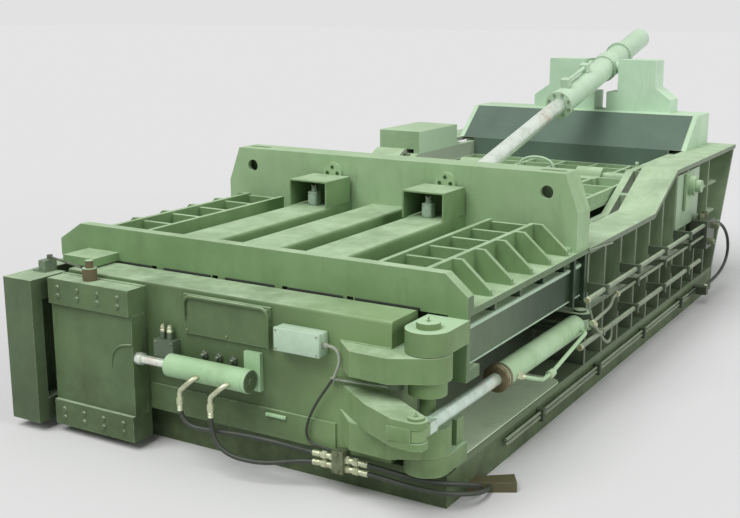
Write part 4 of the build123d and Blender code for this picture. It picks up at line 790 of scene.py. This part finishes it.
LEVER_TIP = Vector((1145, -445, 451))
NOSE_R = 47.6
NOSE_SIZE = (0.060, 0.0044, 1)
NOSE_ARC = math.radians(46)
deselect()
bpy.ops.mesh.primitive_plane_add(size=1, location=(LEVER_TIP + Vector((0, -NOSE_R, 0))) / 1000,
                                 rotation=(0, math.radians(90), 0))
nose_cheek = bpy.context.object
nose_cheek.scale = NOSE_SIZE
nose_cheek.name = nose_cheek.data.name = "lever_nose_cheek"
settle()
mode("EDIT")
bpy.ops.mesh.select_all(action="SELECT")
bpy.ops.mesh.spin(steps=14, angle=NOSE_ARC, center=LEVER_TIP / 1000, axis=UP)
bpy.ops.mesh.select_all(action="SELECT")
bpy.ops.mesh.normals_make_consistent(inside=False)
mode("OBJECT")
bpy.ops.object.shade_smooth_by_angle(angle=SMOOTH_BELOW)
nose_web = eased_block("nose_web", (1036, -494.6, 421), (1147, -490, 481), 1)
fit(joined("lever_nose_cheek", [nose_cheek, nose_web]), "gate", "green_paint", hinge_green)


STEM = ((4.5, 6), (4.5, 10), (3.2, 11), (3.2, 13), (4.4, 15), (4.4, 17), (2.5, 19))


def grease_nipple(name):
    """Grease nipple: hexagon, stem and ball."""
    return stacked(name, (((8, -1), (8, 6), (7, 7)), 6), (STEM, 16))


for name, body, place in (("hinge_nipple", "frame", (1060, -185, 840)), ("lever_nipple", "gate", (1145, -445, 522))):
    fit(copies_at(name, grease_nipple("nipple"), [(place, UP)]), body, "steel", hinge_green)
cover_spots = [((x, COVER_FACE, z), FRONT) for x in (-188, 45, 278) for z in (628, 788)]
fit(copies_at("cover_screws", screw_head("cover_screw", 7, 5), cover_spots), "gate", "steel", gate_green)

# Gate lock.
# Two jaws bolted to the gate hold a sliding plate, which the small cylinder pushes behind the lock post. The bolts
# are painted over with the jaws.
post_green = painted_steel("post_green", (94, 112, 82), (77, 94, 68), (70, 76, 52), grime_top=0.6, dust=0.9)
finish_nodes(gate_green, "lock_jaws", "lock_plate")
finish_nodes(post_green, "lock_post")
lock_green = painted_steel(
    "lock_green", (168, 202, 160), (152, 186, 144), (118, 138, 98), wear=0.25, grime_top=0.2, grime=0.2, gloss=0.3)
finish_nodes(lock_green, "lock_cylinder")
finish_nodes(rod_chrome("lock_rod_chrome", RIGHT, -0.3, 0.5), "lock_rod")
LOCK_Y = -317
LOCK_Z = 464
CAP = ((40, 0), (55.6, 0), (55.6, 26), (54, 27), (54, 29), (55.6, 30), (55.6, 44), (53, 46))
DISC = ((52.5, 0), (52.5, 1.5), (46, 2), (46, 1), (12, 1), (12, 2), (9, 2.6))
HOOP = ((-588, -350, 405), (-586, -352, 440), (-575, -353, 478), (-545, -353, 512), (-500, -353, 530),
        (-452, -350, 534))
lock_cap = set_on(turned("lock_end_cap", CAP, 48), (180, LOCK_Y, LOCK_Z), RIGHT)
fit(lock_cap, "gate", "green_paint", lock_green)
# Painted shade: the end disc looks right and takes the dark post green for the shade on that side.
end_disc_shade = set_on(turned("lock_end_disc_shade", DISC, 48), (226, LOCK_Y, LOCK_Z), RIGHT)
fit(end_disc_shade, "gate", "green_paint", post_green)
hoop = bent_rod("plate_hoop", HOOP, 6)
fit(hoop, "lock", "green_paint", gate_green)
JAW_FACE = -370
JAW_BOLT_X = (-907, -776, -644, -513)
JAW_BOLT_Z = (722, 764, 88, 132)
bolt_spots = [((x, JAW_FACE, z), FRONT) for x in JAW_BOLT_X for z in JAW_BOLT_Z]
fit(copies_at("jaw_hex_bolts", hex_bolt("jaw_bolt", 12, 8), bolt_spots), "gate", "green_paint", post_green, "jaw_bolts")
jaw_runs = [((-970, -265, z), (-450, -265, z)) for z in (807, 679)]
fit(weld_bead("jaw_welds", 12, jaw_runs), "gate", "green_paint", gate_green)

# Lock switch, its lever and the collar on the upper jaw.
# A cast switch on a plate on top of the post, with a long sprung lever that reaches to a turned collar on the gate,
# rusty at its side and paler on top.
dark_steel = metal("dark_steel", (112, 122, 104), 0.4, (74, 80, 66), 0.7)
housing_grey = moulded("housing_grey", (112, 130, 106), 0.42)
collar_rust = painted_steel(
    "collar_rust", (100, 92, 68), (82, 76, 54), (74, 60, 42), wear=0.2, grime_top=0.2, grime=0.2, dust=0.6, gloss=0.5,
    shaded=pale_tops)
finish_nodes(dark_steel, "switch_lever")
finish_nodes(collar_rust, "gate_collar")
finish_nodes(housing_grey, "lock_switch")
switch_spots = [((x, -270, z), FRONT) for x in (-1133, -1099) for z in (812, 848)]
fit(copies_at("lock_switch_screws", screw_head("switch_screw", 4, 3), switch_spots), "frame", "steel", steel)

# Sensor block, studs and clip on the gate's face.
# A dark block with two fittings beside the lock rod, three studs with nuts where a guard was bolted, and a flat
# clip for the hoses.
fitting_zinc = metal("fitting_zinc", (196, 202, 172), 0.3, (150, 148, 112), 0.7)
sensor_grey = moulded("sensor_grey", (88, 104, 84), 0.4)
finish_nodes(sensor_grey, "sensor_block")
sensor_spots = [((x, -292, z), FRONT) for x in (-353, -259) for z in (486, 556)]
tee = stacked("tee", (((17, 36), (17, 46), (15, 48)), 6),
              (((11, 47), (13, 49), (13, 62), (10, 64), (10, 70), (7, 72)), 20))
tee_spots = [((x, -265, 568), UP) for x in (-284.8, -327.2)]
fit(copies_at("sensor_fittings", tee, tee_spots), "gate", "zinc", fitting_zinc)
fit(copies_at("sensor_screws", screw_head("sensor_screw", 6, 5), sensor_spots), "gate", "steel", steel)
THREADS = 10
PITCH = 2
thread = [(9, 11)]
for i in range(THREADS):
    thread += [(8, 12.5 + PITCH * i), (9, 13.5 + PITCH * i)]
stud = stacked("stud", (thread, 20), (((18, 2), (21, 3), (21, 12), (18, 14)), 6),
               (((24, -1), (24, 2.5), (22, 3)), 28))
stud_spots = [((x, GATE_FACE, 518), FRONT) for x in (-97, -11, 75)]
clip = [eased_block("clip", (262, -260, 290), (374, -247, 306), 3)]
clip += [set_on(hex_bolt("clip_bolt", 6, 5), (x, -260, 298), FRONT) for x in (276, 360)]
fit(copies_at("gate_stud_nuts", stud, stud_spots), "gate", "steel", dark_steel, "gate_studs")
fit(joined("hose_clip", clip), "gate", "steel", lock_green)

# Junction box with its gland.
# A pale moulded box with a separate lid, four lid screws and a screwed gland on its right side. Its lid is left
# plain.
box_white = moulded("box_white", (176, 201, 176), 0.38, 0.9)
gland_grey = moulded("gland_grey", (150, 160, 142), 0.4)
box = [eased_block("tray", (357, -290, 634), (597, GATE_FACE, 742), 7),
       eased_block("seam", (360, -293, 637), (594, -288, 739), 2),
       eased_block("lid", (356, -316, 633), (598, -292, 743), 6)]
fit(joined("junction_box_shell", box), "gate", "plastic", box_white, "junction_box")
lid_spots = [((x, -316, z), FRONT) for x in (369, 585) for z in (646, 730)]
fit(copies_at("junction_box_screws", screw_head("box_screw", 5.5, 2.5), lid_spots), "gate", "steel", steel)
gland = stacked("gland", (((14.5, -1), (14.5, 8), (13.5, 9)), 6), (((13, 9), (13, 18), (12, 19)), 6),
                (((12, 18), (11.6, 22), (9.5, 26), (7, 28)), 24))
gland_spot = [((597, -281, 688), RIGHT)]
fit(copies_at("junction_box_gland", gland, gland_spot), "gate", "plastic", gland_grey, "cable_gland")

# Conduit of the arm switch.
# A thin steel tube in a saddle on the gate's face, led between the hinge arms to the small switch there.
CONDUIT = ((628, -250, 528), (700, -258, 536), (800, -268, 544), (890, -278, 552), (932, -282, 560))
CONDUIT_NUT = ((9, 0), (11, 1), (11, 12), (9, 14))
conduit = [bent_rod("conduit", CONDUIT, 6), eased_block("saddle", (618, -262, 516), (640, -236, 540), 3),
           set_on(turned("conduit_nut", CONDUIT_NUT, 6), (918, -281, 557.5), (1, -0.1, 0.19))]
fit(joined("switch_conduit", conduit), "gate", "steel", gland_grey)

# Bulkhead block and hose elbows.
# A steel block low on the gate through which the feed hoses meet the lock hoses, each in a hexagon union, and two
# bent unions on the lock cylinder, all zinc-plated with the yellow of age.
block_grey = metal("block_grey", (120, 128, 100), 0.4, (84, 88, 66), 0.6)
union = stacked("union", (((19, -1), (19, 16), (17, 18)), 6), (((14, 17), (14, 38)), 28),
                (((17, 38), (19.5, 40), (19.5, 64), (17, 66)), 6), (((13, 65), (13, 74), (12, 78)), 28))
UNION_Y = -269
UNION_Z = (132.8, 174.4)
union_spots = [((x, UNION_Y, z), way) for x, way in ((645, LEFT), (705, RIGHT)) for z in UNION_Z]
bulkhead = [eased_block("body", (645, -300, 112), (705, GATE_FACE, 216), 4)]
bulkhead += [set_on(hex_bolt("bulkhead_bolt", 9, 8), (675, -300, z), FRONT) for z in (124, 204)]
fit(joined("bulkhead_body", bulkhead), "gate", "zinc", block_grey, "bulkhead_block")
fit(copies_at("bulkhead_unions", union, union_spots), "gate", "zinc", fitting_zinc)
finish_nodes(fitting_zinc, "hose_elbows")

# Lock hoses, feed hoses, loop hose and junction cable.
# Wire-braided black rubber hose, stiff enough to keep its bends, crimped at both ends, and a round rubber cable.
hose_rubber = moulded("hose_rubber", (52, 58, 48), 0.42)
HOSE_D = 0.022
CABLE_D = 0.012
HOSE_STEPS = 14
HOSE_SIDES = 5
LOCK_A = ((-0.116, -0.405, 0.324), (-0.116, -0.405, 0.290), (-0.104, -0.404, 0.254), (-0.076, -0.401, 0.228),
          (-0.036, -0.394, 0.216), (0.060, -0.376, 0.214), (0.209, -0.352, 0.217), (0.354, -0.333, 0.211),
          (0.462, -0.300, 0.190), (0.522, -0.274, 0.1755), (0.567, -0.269, 0.1744))
LOCK_B = ((0.063, -0.405, 0.324), (0.064, -0.407, 0.268), (0.078, -0.409, 0.196), (0.120, -0.406, 0.146),
          (0.185, -0.395, 0.119), (0.270, -0.376, 0.110), (0.345, -0.354, 0.112), (0.432, -0.314, 0.124),
          (0.510, -0.278, 0.132), (0.567, -0.269, 0.1328))
JUNCTION = ((0.623, -0.281, 0.688), (0.652, -0.283, 0.687), (0.675, -0.285, 0.672), (0.685, -0.287, 0.643),
            (0.680, -0.288, 0.602), (0.650, -0.285, 0.545), (0.603, -0.279, 0.482), (0.556, -0.273, 0.416),
            (0.518, -0.269, 0.350), (0.496, -0.267, 0.292), (0.492, -0.267, 0.254), (0.504, -0.267, 0.224),
            (0.534, -0.267, 0.207), (0.645, -0.269, 0.204))
LOOP = ((1.215, 3.760, 0.595), (1.225, 3.850, 0.598), (1.234, 3.960, 0.580), (1.242, 4.080, 0.535),
        (1.247, 4.190, 0.468), (1.249, 4.266, 0.384), (1.246, 4.292, 0.295), (1.239, 4.254, 0.218),
        (1.229, 4.156, 0.166), (1.218, 4.015, 0.140), (1.210, 3.890, 0.130), (1.207, 3.800, 0.128))
for node, route, diameter, length, body, stiffness in (
        ("lock_hose_a", LOCK_A, HOSE_D, 0.772, "gate", "stiff"),
        ("lock_hose_b", LOCK_B, HOSE_D, 0.669, "gate", "stiff"),
        ("junction_cable", JUNCTION, CABLE_D, 0.702, "gate", "medium"),
        ("loop_hose", LOOP, HOSE_D, 1.213, "frame", "stiff")):
    hose = round_bar("rubber_" + node, route, diameter / 2, HOSE_STEPS, HOSE_SIDES)
    fit(hose, body, "rubber", hose_rubber, node)
    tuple(route[0])

sleeve = bent_rod("junction_cable_sleeve", [[c * 1000 for c in point] for point in JUNCTION[:6]], 7.5)
fit(sleeve, "gate", "plastic", gland_grey)

FEED_A = ((0.783, -0.269, 0.1744), (0.855, -0.269, 0.1744), (0.940, -0.264, 0.166), (1.022, -0.248, 0.154),
          (1.096, -0.218, 0.143), (1.154, -0.172, 0.130), (1.188, -0.112, 0.112), (1.203, -0.046, 0.086),
          (1.208, 0.014, 0.058), (1.195, 0.073, 0.028))
FEED_B = ((0.783, -0.269, 0.1328), (0.855, -0.269, 0.1328), (0.945, -0.267, 0.126), (1.035, -0.255, 0.116),
          (1.116, -0.228, 0.104), (1.182, -0.180, 0.091), (1.222, -0.116, 0.076), (1.240, -0.046, 0.058),
          (1.244, 0.022, 0.040), (1.232, 0.095, 0.026))
for node, route, length in (("feed_hose_a", FEED_A, 0.673), ("feed_hose_b", FEED_B, 0.717)):
    hose = round_bar("rubber_" + node, route, 0.0, HOSE_STEPS, HOSE_SIDES)
    path = [vertex.co.copy() for vertex in bpy.data.meshes.new_from_object(hose).vertices]
    hose.data.bevel_depth = HOSE_D / 2
    hose = meshed(hose)
    hose.data.materials.clear()
    hose.data.materials.append(hose_rubber)
    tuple(route[-1])
    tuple(route[0])
    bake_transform(hose)
    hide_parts(node)
    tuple(route[0])


def ferrule(name):
    """Crimped hose ferrule with pressed grooves."""
    rings = [(12, -1), (15, 1)]
    for i in range(4):
        rings += [(15, 6 + 7 * i), (13.6, 7.5 + 7 * i), (13.6, 8.5 + 7 * i), (15, 10 + 7 * i)]
    return turned(name, rings + [(15, 34), (12, 36)], 28)


gate_ends = [((-116, -405, 325), (0, 0, -1)), ((63, -405, 325), (0, 0.03, -1)),
             ((568, UNION_Y, UNION_Z[1]), (-1, -0.11, 0.02)), ((568, UNION_Y, UNION_Z[0]), (-1, -0.16, 0)),
             ((782, UNION_Y, UNION_Z[1]), RIGHT), ((782, UNION_Y, UNION_Z[0]), RIGHT)]
fit(copies_at("gate_hose_ferrules", ferrule("ferrule"), gate_ends), "gate", "zinc", fitting_zinc)
loop_ends = [((1215, 3758, 595), (0.11, 1, 0.03)), ((1207, 3798, 128), (0.03, 1, 0.02))]
fit(copies_at("loop_hose_ferrules", ferrule("ferrule"), loop_ends), "frame", "zinc", fitting_zinc)

# Gate cylinder.
# A long cylinder along the right side that swings the gate by its lever. The barrel is painted pale, the screwed gland
# is dark with oil, and the rod is chromed.
gate_cylinder_green = painted_steel(
    "gate_cylinder_green", (172, 202, 164), (154, 186, 144), (112, 130, 96), grime=0.2, gloss=0.34)
finish_nodes(gate_cylinder_green, "gate_barrel")
finish_nodes(side_green, "gate_cylinder_bracket")
finish_nodes(rod_chrome("gate_rod_chrome", BACK, 0.25, 0.4, (206, 224, 210), (176, 198, 180), -0.375), "gate_rod")
gland_bronze = metal("gland_bronze", (122, 112, 84), 0.36, (78, 72, 52), 0.7)
feed_nut = stacked("feed_nut", (((17, -26), (21, -24), (21, 4), (17, 6)), 6), (((15, 5), (15, 20), (12, 24)), 24))
feed_spots = [((1243, 754, 367), (0, 0.98, 0.12)), ((1205, 464, 434), (0.58, 0.8, -0.3))]
fit(copies_at("feed_pipe_nuts", feed_nut, feed_spots), "gate_cylinder", "zinc", fitting_zinc)
GLAND_CAP = ((33, -3), (58, -3), (64, 0), (66, 3), (66, 16), (62, 18), (62, 24), (66, 26), (66, 48), (64, 51),
             (58.5, 53))
gland_cap = turned("gate_gland_cap", GLAND_CAP, 48)
fit(set_on(gland_cap, (1145, 320, 451), BACK), "gate_cylinder", "steel", gland_bronze)

# Pipes, clamps and valve along the right side.
# Steel pipe in clamp blocks on the stiffeners and the base, run to a valve block near the lid hinge, all dull
# grey-green under oil and dust.


def oily_valve(tree, tone):
    """Black oil over the valve block at the pipes' rear end."""
    return tinted(tree, tone, along(tree, "Object", "Y", 3.53, 3.56), 0.8, (58, 62, 50))


pipe_green = painted_steel(
    "pipe_green", (134, 144, 124), (112, 122, 102), (84, 90, 72), wear=0.1, dust=0.6, gloss=0.36, shaded=oily_valve)
finish_nodes(pipe_green, "side_pipes")
clamp_green = painted_steel("clamp_green", (84, 98, 78), (70, 82, 64), (58, 64, 48), wear=0.0, dust=0.1, gloss=0.5)
finish_nodes(clamp_green, "pipe_clamps")
PIPE_CLAMPS = (2049, 2598, 3147)
clamp_spots = []
for z, face, ys in ((622, 1261, (1500, *PIPE_CLAMPS)), (545, 1256, PIPE_CLAMPS), (385, 1261, PIPE_CLAMPS)):
    clamp_spots += [((face, y + 10, z + rise), RIGHT) for y in ys for rise in (-19, 19)]
clamp_spots += [((1180, y + 17, 108), RIGHT) for y in (835, 1665, 2495, 3325)]
fit(copies_at("clamp_bolts", hex_bolt("clamp_bolt", 6, 5), clamp_spots), "frame", "zinc", dark_steel)
JOG = ((1240, 1330, 480), (1240, 1480, 490), (1240, 1590, 500), (1240, 1630, 515), (1238, 1655, 542), (1236, 1720, 546),
       (1235, 1950, 545))
LOWER_LOOP = ((1240, 1330, 472), (1243, 1390, 440), (1244, 1490, 352), (1244, 1570, 306), (1244, 1620, 306),
              (1242, 1640, 340), (1238, 1645, 380), (1235, 1700, 386))
jogs = [bent_rod("jog", JOG, 9), bent_rod("loop", LOWER_LOOP, 9),
        bent_rod("stay", ((1235, 1258, 620), (1238, 1290, 560), (1240, 1345, 482)), 5),
        bent_rod("stub", ((1235, 1165, 386), (1235, 1400, 385), (1235, 1650, 385)), 14),
        bent_rod("rod", ((1155, 1470, 836), (1156, 1660, 822), (1156, 1850, 806)), 5),
        eased_block("strap", (1139, 1496, 366), (1254, 1512, 404), 3)]
fit(joined("pipe_jogs", jogs), "frame", "green_paint", pipe_green)
jog_nut = stacked("jog_nut", (((16, 0), (19, 2), (19, 18), (16, 20)), 6), (((14, 19), (14, 30), (12, 32)), 24))
jog_spots = [((1240, 1322, 479), (0, 1, 0.05)), ((1240, 1352, 470), (0.03, 0.85, -0.52))]
jog_spots += [(place, BACK) for place in ((1235, 1160, 386), (1235, 1242, 622), (1236, 1720, 546))]
fit(copies_at("jog_nuts", jog_nut, jog_spots), "frame", "zinc", fitting_zinc)
valve_union = stacked("valve_union", (((23, -1), (23, 14), (21, 16)), 6),
                      (((22, 18), (24, 20), (24, 36), (22, 38)), 6), (((21, 38), (21, 43), (17, 45)), 24))
valve_spots = [((1200, y, 650), UP) for y in (3610, 3710)]
valve_spots += [((1260, 3610, 503.75), RIGHT), ((1260, 3710, 601.25), RIGHT)]
fit(copies_at("valve_unions", valve_union, valve_spots), "frame", "zinc", block_grey)

# Studio floor, light and camera.
# A pale floor under an even soft sky, with a broad key light from the front and a weaker one from the right, seen from
# the right front, a little above a standing person's eyes.
deselect()
bpy.ops.mesh.primitive_plane_add(size=160.0, location=(0, 0, 0))
floor = bpy.context.object
floor.name = "studio_floor"
floor_made, floor_tree, floor_shader = material("studio_pale")
floor_shader.inputs["Base Color"].default_value = (0.67, 0.67, 0.67, 1.0)
floor_shader.inputs["Roughness"].default_value = 1.0
floor_shader.inputs["Specular IOR Level"].default_value = 0.0
floor.data.materials.append(floor_made)

world = bpy.data.worlds.new("studio_sky")
world.use_nodes = True
bpy.context.scene.world = world
sky_tree = world.node_tree
sky = sky_tree.nodes["Background"]
sky.inputs["Color"].default_value = (1.0, 1.0, 1.0, 1.0)
path_node = sky_tree.nodes.new("ShaderNodeLightPath")
seen = math_node(sky_tree, "MAXIMUM", path_node.outputs["Is Camera Ray"], path_node.outputs["Is Glossy Ray"])
seen = math_node(sky_tree, "MAXIMUM", seen, path_node.outputs["Is Transmission Ray"])
SKY_LIGHT = 0.35
SKY_SEEN = 0.76
strength = math_node(sky_tree, "ADD", SKY_LIGHT, times(sky_tree, seen, SKY_SEEN - SKY_LIGHT))
wire(sky_tree, strength, sky.inputs["Strength"])



def sun(name, energy, width, way):
    """Distant soft light from a direction, as wide as an angle in degrees."""
    lamp = bpy.data.lights.new(name, "SUN")
    lamp.energy = energy
    lamp.angle = math.radians(width)
    holder = bpy.data.objects.new(name, lamp)
    bpy.context.collection.objects.link(holder)
    holder.rotation_euler = Vector(way).to_track_quat("Z", "Y").to_euler()


sun("key_light", 2.5, 45, (-0.12, -0.52, 0.84))
sun("fill_light", 1.2, 35, (0.93, 0.04, 0.36))

camera = bpy.data.cameras.new("photo_camera")
camera.lens = 53.96
camera.sensor_width = 36.0
camera.sensor_fit = "HORIZONTAL"
camera_holder = bpy.data.objects.new("photo_camera", camera)
bpy.context.collection.objects.link(camera_holder)
camera_holder.location = (3.129, -4.115, 2.132)
camera_holder.rotation_euler = (math.radians(90 - 13.03), 0.0, math.radians(30.91))
bpy.context.scene.camera = camera_holder
bpy.context.scene.view_settings.view_transform = "Standard"
